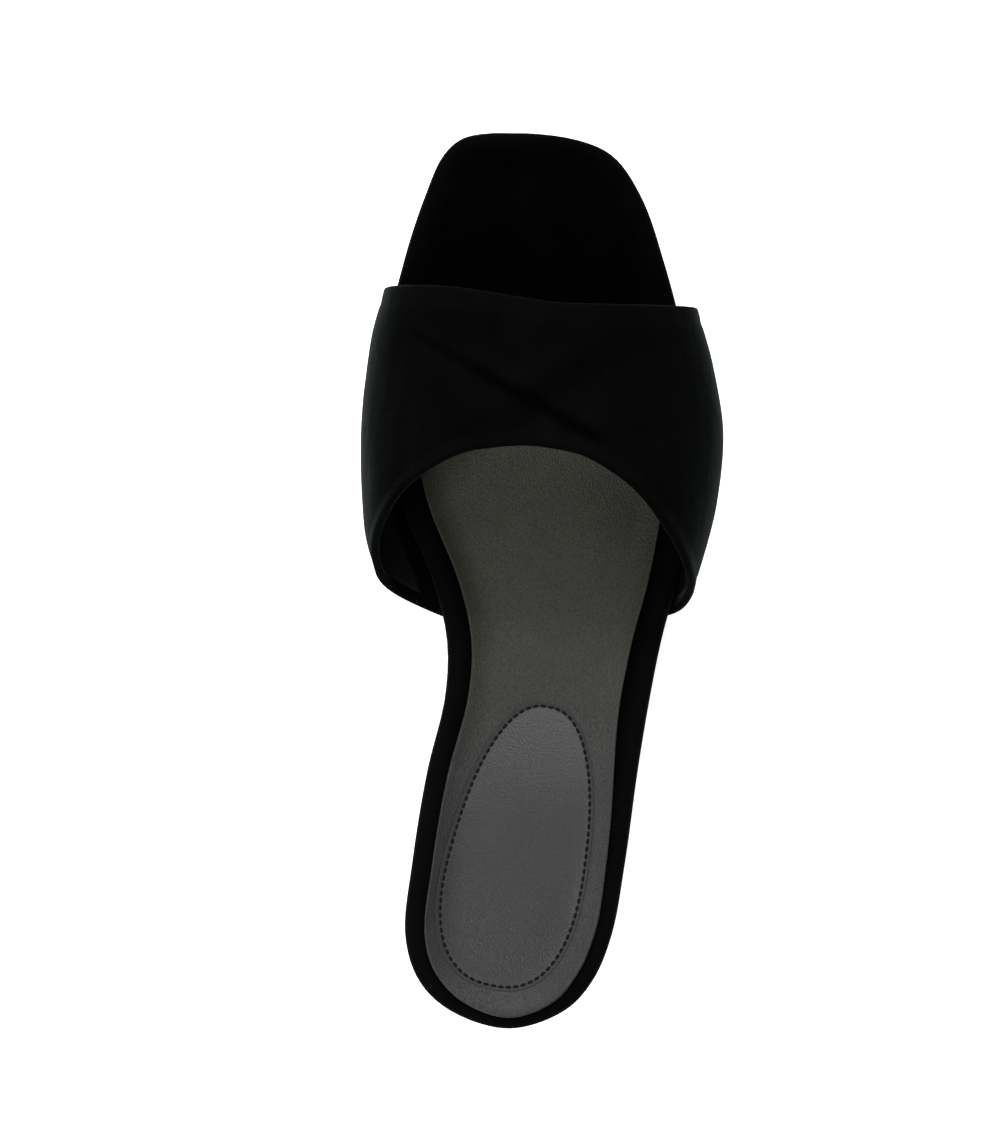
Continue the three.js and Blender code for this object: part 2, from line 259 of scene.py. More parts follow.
@dataclass
class SoleForm:
    """The sole's plan and levels, which every piece of the shoe is worked out from."""

    length: float = 252.0
    heel_back_x: float = -8.9
    toe_tip_x: float = -12.8
    heel_centre: float = 30.0
    toe_centre: float = 226.0
    seat_gap: float = 0.3
    footbed_thick: float = 7.0
    upper_round: float = 3.0
    cup_depth: float = 2.2
    cup_starts: float = 3.5
    cup_turns: float = 6.0
    cup_ends: float = 15.5
    waist_depth: float = 1.7
    waist_back: Range = (94.0, 132.0)
    waist_front: Range = (156.0, 200.0)
    arch_back: float = 78.0
    arch_front: float = 128.0
    arch_height: float = 2.5
    spring_start: float = 190.0
    spring_height: float = 4.5
    bevel_end: float = 10.0
    bevel_height: float = 1.0
    stations: int = 90
    spline_steps: int = 1200
    edges: dict[Side, tuple[list[float], list[float]]] = field(init=False)
    rim_points: list[RimPoint] = field(init=False)
    origin: Vector = field(init=False)

    def __post_init__(self) -> None:
        """Draws the outline and finds where the part's frame has the tables' zero."""
        lateral = [Vector((x, along)) for along, _, x in SOLE_SECTIONS]
        medial = [Vector((x, along)) for along, x, _ in reversed(SOLE_SECTIONS)]
        heel = Vector((self.heel_back_x, 0.0))
        toe = Vector((self.toe_tip_x, self.length))
        curve = closed_spline([heel, *lateral, toe, *medial], self.spline_steps)
        tip = max(range(len(curve)), key=lambda i: curve[i].y)
        halves = {Side.LATERAL: curve[: tip + 1], Side.MEDIAL: curve[tip:][::-1]}
        self.edges = {side: ([p.y for p in half], [p.x for p in half]) for side, half in halves.items()}
        low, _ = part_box("footbed")
        self.origin = Vector((low[0] / MM - min(p.x for p in curve), low[1] / MM, 0.0))
        self.rim_points = self._walk_rim()

    def _walk_rim(self) -> list[RimPoint]:
        """Lists the outline from the heel back up the lateral side, and down the medial side.

        Returns:
            The outline's points, closest together at heel and toe.
        """
        turns = [math.pi * k / self.stations for k in range(1, self.stations)]
        places = [self.length * (1 - math.cos(turn)) / 2 for turn in turns]
        walk = [(Side.LATERAL, 0.0, self.heel_back_x)]
        walk += [(Side.LATERAL, place, self.edge(Side.LATERAL, place)) for place in places]
        walk += [(Side.MEDIAL, self.length, self.toe_tip_x)]
        walk += [(Side.MEDIAL, place, self.edge(Side.MEDIAL, place)) for place in reversed(places)]
        points = []
        for side, along, x in walk:
            way = self.spine(along) - Vector((x, along))
            points.append(RimPoint(side, x, along, way.normalized(), way.length))
        return points

    def edge(self, side: Side, along: float) -> float:
        """Gives X of the sole's edge.

        Args:
            side: The side of the foot.
            along: Distance from the heel back, in millimetres.

        Returns:
            X in the tables' millimetres.
        """
        places, values = self.edges[side]
        i, share = locate(places, along)
        return blend(values[i], values[i + 1], min(1.0, max(0.0, share)))

    def spine(self, along: float) -> Vector:
        """Gives the nearest point of the sole's middle line, which stops short of heel and toe."""
        held = min(max(along, self.heel_centre), self.toe_centre)
        return Vector(((self.edge(Side.MEDIAL, held) + self.edge(Side.LATERAL, held)) / 2, held))

    def place(self, x: float, along: float, height: float) -> Vector:
        """Turns the tables' millimetres into a point of the part's frame, in metres."""
        return (Vector((x, along, height)) + self.origin) * MM

    def rim_top(self, along: float) -> float:
        """Gives the height of the footbed's rim above the floor."""
        return BED.read("top", along)

    def seam(self, along: float) -> float:
        """Gives the height of the platform's upper face."""
        return self.rim_top(along) - self.footbed_thick - self.seat_gap

    def ground(self, along: float) -> float:
        """Gives the height of the outsole's under face: flat at heel and forefoot, arched and sprung.

        Args:
            along: Distance from the heel back, in millimetres.

        Returns:
            The height above the floor, in millimetres.
        """
        if along > self.spring_start:
            share = (along - self.spring_start) / (self.length - self.spring_start)
            return self.spring_height * share**2
        if self.arch_back < along < self.arch_front:
            share = (along - self.arch_back) / (self.arch_front - self.arch_back)
            return self.arch_height * math.sin(math.pi * share) ** 2
        if along < self.bevel_end:
            return self.bevel_height * (1 - along / self.bevel_end) ** 2
        return 0.0

    def bed(self, inset: float, along: float) -> float:
        """Gives the height of the footbed's upper face, at a distance in from the sole's edge."""
        drop = self.upper_round - math.sqrt(self.upper_round**2 - max(0.0, self.upper_round - inset) ** 2)
        return self.rim_top(along) - drop - self.cup(inset, along)

    def cup(self, inset: float, along: float) -> float:
        """Gives how far the cup falls: off the rim, then easing out on the floor, deepest at the waist.

        Args:
            inset: Distance in from the sole's edge, in millimetres.
            along: Distance from the heel back, in millimetres.

        Returns:
            The fall below the rim, in millimetres.
        """
        waist = ease_between(along, *self.waist_back) * (1 - ease_between(along, *self.waist_front))
        depth = self.cup_depth + self.waist_depth * waist
        steepest = 2 * depth / (self.cup_ends - self.cup_starts)
        if inset < self.cup_turns:
            past = max(0.0, inset - self.cup_starts)
            return steepest * past**2 / (2 * (self.cup_turns - self.cup_starts))
        short = max(0.0, self.cup_ends - inset)
        return depth - steepest * short**2 / (2 * (self.cup_ends - self.cup_turns))

    def rim_width(self, point: RimPoint) -> float:
        """Gives the width of bare velvet rim at a point of the outline."""
        return BED.read(point.side.value, point.along)

    def ring(
        self,
        inset: Callable[[RimPoint], float],
        height: Callable[[float, float], float],
    ) -> list[Vector]:
        """Sets the outline in and lifts it.

        Args:
            inset: Distance in from the edge at a point of the outline, in millimetres.
            height: Height for a place along the sole and a distance in, in millimetres.

        Returns:
            The ring's points in the part's frame.
        """
        points = []
        for point in self.rim_points:
            distance = min(inset(point), point.reach)
            spot = Vector((point.x, point.along)) + point.inward * distance
            points.append(self.place(spot.x, spot.y, height(spot.y, distance)))
        return points

    def level_ring(self, inset: float, height: Callable[[float], float], lift: float = 0.0) -> list[Vector]:
        """Sets the outline in by one distance, at or above a height that depends on the place."""
        return self.ring(lambda point: inset, lambda along, distance: height(along) + lift)

    def spine_ring(
        self, height: Callable[[float], float], share: float = 1.0, lift: float = 0.0
    ) -> list[Vector]:
        """Draws the outline in by a share of the way to the sole's middle line."""
        return self.ring(lambda point: point.reach * share, lambda along, distance: height(along) + lift)

    def bed_ring(self, inset: Callable[[RimPoint], float], lift: float = 0.0) -> list[Vector]:
        """Sets the outline in, on the footbed's upper face or above it."""
        return self.ring(inset, lambda along, distance: self.bed(distance, along) + lift)


class Bench:
    """Makes and finishes meshes with Blender's own operators."""

    MERGE = 2e-7
    # The mesh attribute that carries velvet's nap with its painted light and shade, and leather's dulling
    NAP_AND_PAINTED_LIGHT = "nap"
    KNIFE_TALL = 0.3
    KNIFE_SIDES = 256
    SMOOTH_UNDER = math.radians(50)

    @staticmethod
    def deselect() -> None:
        """Leaves edit mode and clears the selection."""
        if bpy.context.mode != "OBJECT":
            bpy.ops.object.mode_set(mode="OBJECT")
        bpy.ops.object.select_all(action="DESELECT")

    @classmethod
    def edit(cls, piece: Piece) -> None:
        """Opens one piece alone in edit mode.

        Args:
            piece: The piece to open.
        """
        cls.deselect()
        bpy.context.view_layer.objects.active = piece
        piece.select_set(True)
        bpy.ops.object.mode_set(mode="EDIT")

    @classmethod
    def loft(
        cls,
        name: str,
        rings: Sequence[Sequence[Vector]],
        naps: Sequence[Sequence[float]] | None = None,
    ) -> Piece:
        """Adds a circle on the first ring and extrudes it from ring to ring.

        Args:
            name: The new piece's name.
            rings: Rings with equal numbers of points. A ring whose points meet in pairs closes that end.
            naps: How far velvet's pile stands up, with its painted sheen, light and shade, or leather is
                dulled, at each point, from 0 to 1.

        Returns:
            The closed piece, smooth, with its faces pointing out.
        """
        cls.deselect()
        bpy.ops.mesh.primitive_circle_add(vertices=len(rings[0]), fill_type="NOTHING")
        piece = bpy.context.object
        piece.name = piece.data.name = name
        bpy.ops.object.mode_set(mode="EDIT")
        bpy.ops.mesh.select_all(action="SELECT")
        for number, ring in enumerate(rings):
            if number:
                bpy.ops.mesh.extrude_region_move()
            mesh = bmesh.from_edit_mesh(piece.data)
            if naps and not number:
                mesh.verts.layers.float.new(cls.NAP_AND_PAINTED_LIGHT)
            mesh.verts.ensure_lookup_table()
            newest = mesh.verts[-len(ring):]
            for vertex, spot in zip(newest, ring):
                vertex.co = spot
            if naps:
                layer = mesh.verts.layers.float[cls.NAP_AND_PAINTED_LIGHT]
                for vertex, nap in zip(newest, naps[number]):
                    vertex[layer] = nap
            bmesh.update_edit_mesh(piece.data)
        bpy.ops.mesh.select_all(action="SELECT")
        bpy.ops.mesh.remove_doubles(threshold=cls.MERGE)
        bpy.ops.mesh.dissolve_degenerate(threshold=cls.MERGE)
        bpy.ops.mesh.normals_make_consistent(inside=False)
        bpy.ops.object.mode_set(mode="OBJECT")
        return cls.at_origin(piece)

    @staticmethod
    def at_origin(piece: Piece) -> Piece:
        """Puts a piece's object at the frame's origin, with its mesh as it is but shaded smooth.

        Args:
            piece: The piece to place.

        Returns:
            The same piece.
        """
        piece.matrix_world = Matrix.Identity(4)
        for polygon in piece.data.polygons:
            polygon.use_smooth = True
        return piece

    @classmethod
    def trim(cls, piece: Piece, middle: Vector, wide: float, long: float) -> None:
        """Keeps what lies inside an upright oval block, as a sheet is cut with an oval knife.

        Args:
            piece: The piece to trim.
            middle: The oval's middle in the part's frame.
            wide: Half the oval's width, in metres.
            long: Half the oval's length, in metres.
        """
        cls.deselect()
        bpy.ops.mesh.primitive_cylinder_add(
            vertices=cls.KNIFE_SIDES, radius=1.0, depth=cls.KNIFE_TALL, location=middle
        )
        knife = bpy.context.object
        bpy.ops.transform.resize(value=(wide, long, 1.0))
        bpy.ops.object.transform_apply(location=True, rotation=True, scale=True)
        cls.deselect()
        bpy.context.view_layer.objects.active = piece
        piece.select_set(True)
        cut = piece.modifiers.new("front", "BOOLEAN")
        cut.operation = "INTERSECT"
        cut.object = knife
        bpy.ops.object.modifier_apply(modifier=cut.name)
        bpy.data.objects.remove(knife)
        bpy.ops.object.shade_smooth_by_angle(angle=cls.SMOOTH_UNDER)

    @classmethod
    def join(cls, name: str, parts: Sequence[Piece]) -> Piece:
        """Joins parts into one piece at the origin.

        Args:
            name: The joined piece's name.
            parts: The parts, which the piece takes over.

        Returns:
            The joined piece.
        """
        cls.deselect()
        for part in parts:
            part.select_set(True)
        bpy.context.view_layer.objects.active = parts[0]
        bpy.ops.object.transform_apply(location=True, rotation=True, scale=True)
        bpy.ops.object.join()
        piece = bpy.context.object
        piece.name = piece.data.name = name
        return cls.at_origin(piece)

    @classmethod
    def copies(cls, name: str, pattern: Piece, places: Sequence[Matrix]) -> Piece:
        """Copies a small mesh to many places and joins the copies.

        Args:
            name: The joined piece's name.
            pattern: The mesh to copy, at the origin. It is used up.
            places: Where each copy goes.

        Returns:
            The joined piece.
        """
        whole = bmesh.new()
        for place in places:
            copy = pattern.data.copy()
            copy.transform(place)
            whole.from_mesh(copy)
            bpy.data.meshes.remove(copy)
        mesh = bpy.data.meshes.new(name)
        whole.to_mesh(mesh)
        whole.free()
        piece = bpy.data.objects.new(name, mesh)
        bpy.context.collection.objects.link(piece)
        bpy.data.objects.remove(pattern)
        return cls.at_origin(piece)


class Surface:
    """A finished piece's upper face, to set other pieces down on."""

    SKY = 0.2

    def __init__(self, piece: Piece) -> None:
        """Reads the piece's mesh once."""
        corners = [vertex.co.copy() for vertex in piece.data.vertices]
        self.tree = BVHTree.FromPolygons(corners, [tuple(p.vertices) for p in piece.data.polygons])

    def drop(self, spot: Vector) -> Vector:
        """Finds where a place, whose height doesn't count, lands from above."""
        return self.tree.ray_cast(Vector((spot.x, spot.y, self.SKY)), Vector((0, 0, -1)))[0]


# Finishes
class NodeBench:
    """A material's node tree, with short ways to add and link nodes."""

    WAVER_SCALE = 0.6
    WAVER_SIZE = 0.9

    def __init__(self, name: str) -> None:
        """Starts a material that holds only a Principled shader.

        Args:
            name: The material's name.
        """
        self.material = bpy.data.materials.new(name)
        self.material.use_nodes = True
        self.tree = self.material.node_tree
        self.shader = self.tree.nodes["Principled BSDF"]
        self.coordinates = self.add("TexCoord", {}, "Object")

    def fill(self, node: bpy.types.Node, inputs: Inputs) -> None:
        """Sets or links a node's inputs.

        Args:
            node: The node to fill.
            inputs: By the input's name or number, a constant or the socket that feeds it.
        """
        for key, value in inputs.items():
            if isinstance(value, Socket):
                self.tree.links.new(value, node.inputs[key])
            else:
                node.inputs[key].default_value = value

    def add(self, kind: str, inputs: Inputs, output: str, **settings: object) -> Socket:
        """Adds a node.

        Args:
            kind: The node's Blender type, without its ShaderNode prefix.
            inputs: What goes into it, as for fill.
            output: The output to give.
            settings: Properties of the node.

        Returns:
            The output's socket.
        """
        node = self.tree.nodes.new("ShaderNode" + kind)
        for name, value in settings.items():
            setattr(node, name, value)
        self.fill(node, inputs)
        return node.outputs[output]

    def multiply_add(self, first: object, second: object, third: object) -> Socket:
        """Multiplies two values and adds a third."""
        return self.add("Math", {0: first, 1: second, 2: third}, "Value", operation="MULTIPLY_ADD")

    def multiply(self, first: Socket, second: Socket) -> Socket:
        """Multiplies two colours."""
        inputs = {"Factor": 1.0, "A": first, "B": second}
        return self.add("Mix", inputs, "Result", data_type="RGBA", blend_type="MULTIPLY")

    def nap(self) -> Socket:
        """Gives the nap that the mesh carries, with velvet's painted light and shade, or 0 where it carries
        none.
        """
        return self.add("Attribute", {}, "Fac", attribute_name=Bench.NAP_AND_PAINTED_LIGHT)

    def along(self, low: float, high: float) -> Socket:
        """Gives how far along the foot a point is, from 0 at low to 1 at high, in metres."""
        place = self.add("SeparateXYZ", {"Vector": self.coordinates}, "Y")
        return self.add("MapRange", {"Value": place, "From Min": low, "From Max": high}, "Result")

    def noise(
        self, size_mm: float, detail: float = 2.0, distortion: float = 0.0, scale: Triple = (1.0, 1.0, 1.0)
    ) -> Socket:
        """Adds noise whose grains are about a size across.

        Args:
            size_mm: Grain size in millimetres.
            detail: How many finer layers it has.
            distortion: How much it swirls.
            scale: How many times finer it is on each axis.

        Returns:
            The noise's value, about 0 to 1.
        """
        inputs = {"Scale": 1 / (size_mm * MM), "Detail": detail, "Distortion": distortion}
        inputs["Vector"] = self.add("Mapping", {"Vector": self.coordinates, "Scale": scale}, "Vector")
        return self.add("TexNoise", inputs, "Fac")

    def cells(self, size_mm: float, smooth: float, stretch: float) -> Socket:
        """Adds rounded cells with wavering sides.

        Args:
            size_mm: The cells' width in millimetres.
            smooth: How softly each cell runs into the next, 0 to 1.
            stretch: How many times their width the cells are long, along the foot.

        Returns:
            The distance from each cell's middle, about 0 to 1.
        """
        size = size_mm * MM
        waver = self.add("TexNoise", {"Vector": self.coordinates, "Scale": self.WAVER_SCALE / size}, "Color")
        shift = {0: waver, 1: (self.WAVER_SIZE * size,) * 3, 2: self.coordinates}
        shifted = self.add("VectorMath", shift, "Vector", operation="MULTIPLY_ADD")
        squeeze = {0: shifted, 1: (1.0, 1 / stretch, 1.0)}
        squeezed = self.add("VectorMath", squeeze, "Vector", operation="MULTIPLY")
        inputs = {"Vector": squeezed, "Scale": 1 / size, "Smoothness": smooth}
        return self.add("TexVoronoi", inputs, "Distance", feature="SMOOTH_F1")

    def ramp(self, value: Socket, low: tuple[float, Triple], high: tuple[float, Triple]) -> Socket:
        """Turns a value into a colour.

        Args:
            value: The value to read, 0 to 1.
            low: The place of the first colour, and the colour.
            high: The place of the second colour, and the colour.

        Returns:
            The colour.
        """
        node = self.tree.nodes.new("ShaderNodeValToRGB")
        for element, (place, colour) in zip(node.color_ramp.elements, (low, high)):
            element.position = place
            element.color = (*colour, 1.0)
        self.fill(node, {"Fac": value})
        return node.outputs["Color"]

    def bumps(self, *layers: tuple[Socket, float, float]) -> None:
        """Lays height maps over each other and gives the shader their normal.

        Args:
            layers: Each a height from 0 to 1, its relief in millimetres and its strength.
        """
        lower = {}
        for height, relief_mm, strength in layers:
            inputs = {"Height": height, "Distance": relief_mm * MM, "Strength": strength, **lower}
            lower = {"Normal": self.add("Bump", inputs, "Normal")}
        self.fill(self.shader, lower)


@dataclass(frozen=True)
class VelvetFinish:
    """Short dense pile: nearly black face on, with a cool sheen where it turns away."""

    name: str = "black_velvet"
    deep: Triple = (0.0003, 0.0003, 0.0003)
    # The lighter tone is reached by raised pile and by painted sheen and painted light
    brushed_and_lit: Triple = (0.0026, 0.0029, 0.0028)
    sheen: float = 0.05
    sheen_roughness: float = 0.3
    sheen_tint: tuple[float, float, float, float] = (0.8, 1.0, 0.95, 1.0)
    roughness: float = 1.0
    gloss: float = 0.01
    pile_mm: float = 0.32
    pile_relief_mm: float = 0.2
    pile_strength: float = 0.7
    nap_mm: float = 15.0
    patchiness: float = 0.4
    stroke_mm: float = 5.0
    stroke_relief_mm: float = 0.8
    stroke_strength: float = 0.35
    stroke_scale: Triple = (1.0, 0.45, 1.0)

    def material(self) -> bpy.types.Material:
        """Builds the velvet: nap patches, with the painted light and shade that the mesh's nap carries,
        strokes along the foot, and the pile's own grain.

        Returns:
            The material.
        """
        bench = NodeBench(self.name)
        patches = bench.noise(self.nap_mm, detail=3.0, distortion=0.8)
        # The mesh's nap raises the colour for painted sheen and painted light, and lowers it for painted
        # shade in the creases
        nap = bench.multiply_add(patches, self.patchiness, bench.nap())
        inputs = {
            "Base Color": bench.ramp(nap, (self.patchiness / 2, self.deep), (1.0, self.brushed_and_lit)),
            "Roughness": self.roughness,
            "Specular IOR Level": self.gloss,
            "Sheen Weight": self.sheen,
            "Sheen Roughness": self.sheen_roughness,
            "Sheen Tint": self.sheen_tint,
        }
        bench.fill(bench.shader, inputs)
        stroke = bench.noise(self.stroke_mm, detail=3.0, distortion=0.4, scale=self.stroke_scale)
        pile = bench.noise(self.pile_mm)
        bench.bumps(
            (stroke, self.stroke_relief_mm, self.stroke_strength),
            (pile, self.pile_relief_mm, self.pile_strength),
        )
        return bench.material


@dataclass(frozen=True)
class LeatherFinish:
    """Dyed leather with a rounded grain, soft mottling and fine pores."""

    name: str
    dark: Triple
    light: Triple
    grain_mm: float
    grain_relief_mm: float
    roughness: Range
    gloss: float
    valley: float = 0.5
    valley_at: Range = (0.25, 0.7)
    grain_soft: float = 0.15
    grain_strength: float = 1.0
    grain_stretch: float = 1.0
    mottle_mm: float = 14.0
    mottle_at: Range = (0.3, 0.7)
    pore_mm: float = 0.35
    pore_relief_mm: float = 0.04
    pore_strength: float = 0.5
    dulling: float = 0.0
    front_tint: Triple = WHITE
    tint_from: Range = (-0.06, -0.005)

    def material(self) -> bpy.types.Material:
        """Builds the leather: mottled dye, grain cells with darker and duller valleys, and pores.

        Returns:
            The material.
        """
        bench = NodeBench(self.name)
        mottle = bench.noise(self.mottle_mm, detail=4.0, distortion=0.5)
        cells = bench.cells(self.grain_mm, self.grain_soft, self.grain_stretch)
        hills = bench.add("Math", {0: 1.0, 1: cells}, "Value", operation="SUBTRACT")
        pores = bench.noise(self.pore_mm)
        dye = bench.ramp(mottle, *zip(self.mottle_at, (self.dark, self.light)))
        valleys = bench.ramp(cells, *zip(self.valley_at, (WHITE, (self.valley,) * 3)))
        tint = bench.ramp(bench.along(*self.tint_from), (0.0, WHITE), (1.0, self.front_tint))
        low, high = self.roughness
        polish = {"Value": cells, "From Max": self.valley_at[1], "To Min": low, "To Max": high}
        polished = bench.add("MapRange", polish, "Result")
        inputs = {
            "Base Color": bench.multiply(bench.multiply(dye, valleys), tint),
            "Roughness": bench.multiply_add(bench.nap(), self.dulling, polished),
            "Specular IOR Level": self.gloss,
        }
        bench.fill(bench.shader, inputs)
        grain = (hills, self.grain_relief_mm, self.grain_strength)
        bench.bumps(grain, (pores, self.pore_relief_mm, self.pore_strength))
        return bench.material


@dataclass(frozen=True)
class PlainFinish:
    """A dense matt stuff with a fine even grain, such as rubber or thread."""

    name: str
    dark: Triple
    light: Triple
    grain_mm: float
    relief_mm: float
    roughness: float
    gloss: float
    strength: float = 0.6
    tone_grains: float = 12.0
    tone_at: Range = (0.3, 0.7)
    detail: float = 3.0

    def material(self) -> bpy.types.Material:
        """Builds the stuff: two close tones over a fine grain.

        Returns:
            The material.
        """
        bench = NodeBench(self.name)
        tone = bench.noise(self.grain_mm * self.tone_grains, self.detail)
        inputs = {
            "Base Color": bench.ramp(tone, *zip(self.tone_at, (self.dark, self.light))),
            "Roughness": self.roughness,
            "Specular IOR Level": self.gloss,
        }
        bench.fill(bench.shader, inputs)
        bench.bumps((bench.noise(self.grain_mm, self.detail), self.relief_mm, self.strength))
        return bench.material


VELVET = VelvetFinish()
SOCK_LEATHER = LeatherFinish(
    name="grained_sock_leather",
    dark=(0.0122, 0.0122, 0.0122),
    light=(0.0168, 0.0168, 0.0168),
    grain_mm=0.42,
    grain_relief_mm=0.11,
    roughness=(0.32, 0.62),
    gloss=0.4,
    grain_stretch=1.5,
    front_tint=(1.0, 1.14, 0.5),
)
PAD_LEATHER = LeatherFinish(
    name="smooth_pad_leather",
    dark=(0.008, 0.008, 0.0078),
    light=(0.0104, 0.0104, 0.0102),
    grain_mm=0.46,
    grain_relief_mm=0.055,
    roughness=(0.28, 0.39),
    gloss=0.55,
    valley=0.7,
    dulling=0.42,
)
LINING_LEATHER = LeatherFinish(
    name="black_lining_leather",
    dark=(0.0045, 0.0045, 0.0036),
    light=(0.007, 0.007, 0.0056),
    grain_mm=0.6,
    grain_relief_mm=0.05,
    roughness=(0.55, 0.7),
    gloss=0.1,
)
RUBBER = PlainFinish(
    name="black_rubber",
    dark=(0.005, 0.005, 0.005),
    light=(0.008, 0.008, 0.008),
    grain_mm=0.25,
    relief_mm=0.06,
    roughness=0.7,
    gloss=0.2,
)
THREAD = PlainFinish(
    name="black_thread",
    dark=(0.0012, 0.0012, 0.0012),
    light=(0.003, 0.003, 0.003),
    grain_mm=0.15,
    relief_mm=0.08,
    roughness=0.65,
    gloss=0.1,
)


class Wardrobe:
    """Each finish's material, made once."""

    def __init__(self) -> None:
        """Starts with nothing made."""
        self.made: dict[str, bpy.types.Material] = {}

    def dress(
        self,
        piece: Piece,
        finish: VelvetFinish | LeatherFinish | PlainFinish,
        slot: Slot,
        *nodes: str,
    ) -> Piece:
        """Gives a piece its material, and joins it to the part.

        Args:
            piece: The finished mesh.
            finish: What it is made of.
            slot: The record's slot that it belongs to. Not used.
            nodes: The part's solids that the piece stands for.

        Returns:
            The same piece.
        """
        if finish.name not in self.made:
            self.made[finish.name] = finish.material()
        piece.data.materials.clear()
        piece.data.materials.append(self.made[finish.name])
        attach(piece, BODY)
        if nodes:
            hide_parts(*nodes)
        LOG.info("%s: %d faces", piece.name, len(piece.data.polygons))
        return piece


def quarter(radius: float, steps: int) -> list[Range]:
    """Steps round a quarter circle from an upright wall to a level face: distances in, and up."""
    turns = [math.pi / 2 * k / steps for k in range(steps + 1)]
    return [(radius * (1 - math.cos(turn)), radius * math.sin(turn)) for turn in turns]


@dataclass
class Outsole:
    """The rubber sheet that meets the floor, with shallow ribs let into heel and forefoot."""

    form: SoleForm
    wardrobe: Wardrobe
    thick: float = 3.0
    setback: float = 3.5
    edge_round: float = 0.8
    border: float = 6.0
    tread_depth: float = 0.7
    wall_slope: float = 0.5
    rib_pitch: float = 4.2
    rib_width: float = 2.6
    rib_bevel: float = 0.35
    rib_bury: float = 0.15
    rib_clear: float = 1.0
    bevel_steps: int = 2
    round_steps: int = 4
    field_share: float = 0.7
    heel_ribs: Range = (14.0, 74.0)
    forefoot_ribs: Range = (131.0, 188.0)

    def build(self) -> None:
        """Makes the sheet and its ribs."""
        form = self.form
        ground = form.ground
        field_inset = self.setback + self.border
        rings = [
            form.spine_ring(ground, 1.0, self.tread_depth),
            form.spine_ring(ground, self.field_share, self.tread_depth),
            form.level_ring(field_inset, ground, self.tread_depth),
            form.level_ring(field_inset - self.wall_slope, ground),
        ]
        for inset, rise in reversed(quarter(self.edge_round, self.round_steps)):
            rings.append(form.level_ring(self.setback + inset, ground, self.edge_round - rise))
        rings += [
            form.level_ring(self.setback, ground, self.thick),
            form.spine_ring(ground, 1.0, self.thick),
        ]
        sheet = Bench.loft("outsole_rubber", rings)
        self.wardrobe.dress(sheet, RUBBER, Slot.RUBBER, "outsole")
        ribs = []
        for start, end in (self.heel_ribs, self.forefoot_ribs):
            count = int((end - start) / self.rib_pitch)
            places = [start + self.rib_pitch * k for k in range(count + 1)]
            ribs += [self._rib(along, field_inset + self.rib_clear) for along in places]
        self.wardrobe.dress(Bench.join("outsole_ribs", ribs), RUBBER, Slot.RUBBER)

    def _rib(self, along: float, inset: float) -> Piece:
        """Adds one rib, as long as the sole is wide there: a cube with its edges bevelled.

        Args:
            along: Distance from the heel back, in millimetres.
            inset: How far the rib stops short of the sole's edges, in millimetres.

        Returns:
            The rib.
        """
        low = self.form.edge(Side.MEDIAL, along) + inset
        high = self.form.edge(Side.LATERAL, along) - inset
        tall = self.tread_depth + self.rib_bury
        Bench.deselect()
        bpy.ops.mesh.primitive_cube_add(size=1.0, location=self.form.place((low + high) / 2, along, tall / 2))
        rib = bpy.context.object
        rib.scale = Vector((high - low, self.rib_width, tall)) * MM
        bpy.ops.object.transform_apply(location=True, rotation=True, scale=True)
        bpy.ops.object.mode_set(mode="EDIT")
        bpy.ops.mesh.select_all(action="SELECT")
        bpy.ops.mesh.bevel(offset=self.rib_bevel * MM, segments=self.bevel_steps, affect="EDGES")
        bpy.ops.object.mode_set(mode="OBJECT")
        return rib


@dataclass
class Platform:
    """The tall block under the footbed, wrapped in velvet."""

    form: SoleForm
    wardrobe: Wardrobe
    outsole_thick: float = 3.0
    top_round: float = 3.5
    foot_round: float = 1.5
    taper: float = 2.5
    wall_rings: int = 9
    round_steps: int = 5
    nap: float = 0.5

    def build(self) -> None:
        """Makes the velvet-covered block."""
        form = self.form

        def foot(along: float) -> float:
            """The block's under face."""
            return form.ground(along) + self.outsole_thick + form.seat_gap

        def wall(along: float, share: float) -> float:
            """A height between the block's foot and the start of its rounded top."""
            return blend(foot(along) + self.foot_round, form.seam(along) - self.top_round, share)

        rings = [form.spine_ring(foot), form.spine_ring(foot, MIDWAY)]
        for inset, rise in reversed(quarter(self.foot_round, self.round_steps)):
            rings.append(form.level_ring(self.taper + inset, foot, self.foot_round - rise))
        for k in range(1, self.wall_rings):
            share = k / self.wall_rings
            rings.append(form.level_ring(self.taper * (1 - share), lambda y, share=share: wall(y, share)))
        for inset, rise in quarter(self.top_round, self.round_steps):
            rings.append(form.level_ring(inset, form.seam, rise - self.top_round))
        rings += [form.spine_ring(form.seam, MIDWAY), form.spine_ring(form.seam)]
        naps = [[self.nap] * len(ring) for ring in rings]
        self.wardrobe.dress(Bench.loft("platform_velvet", rings, naps), VELVET, Slot.VELVET, "platform")


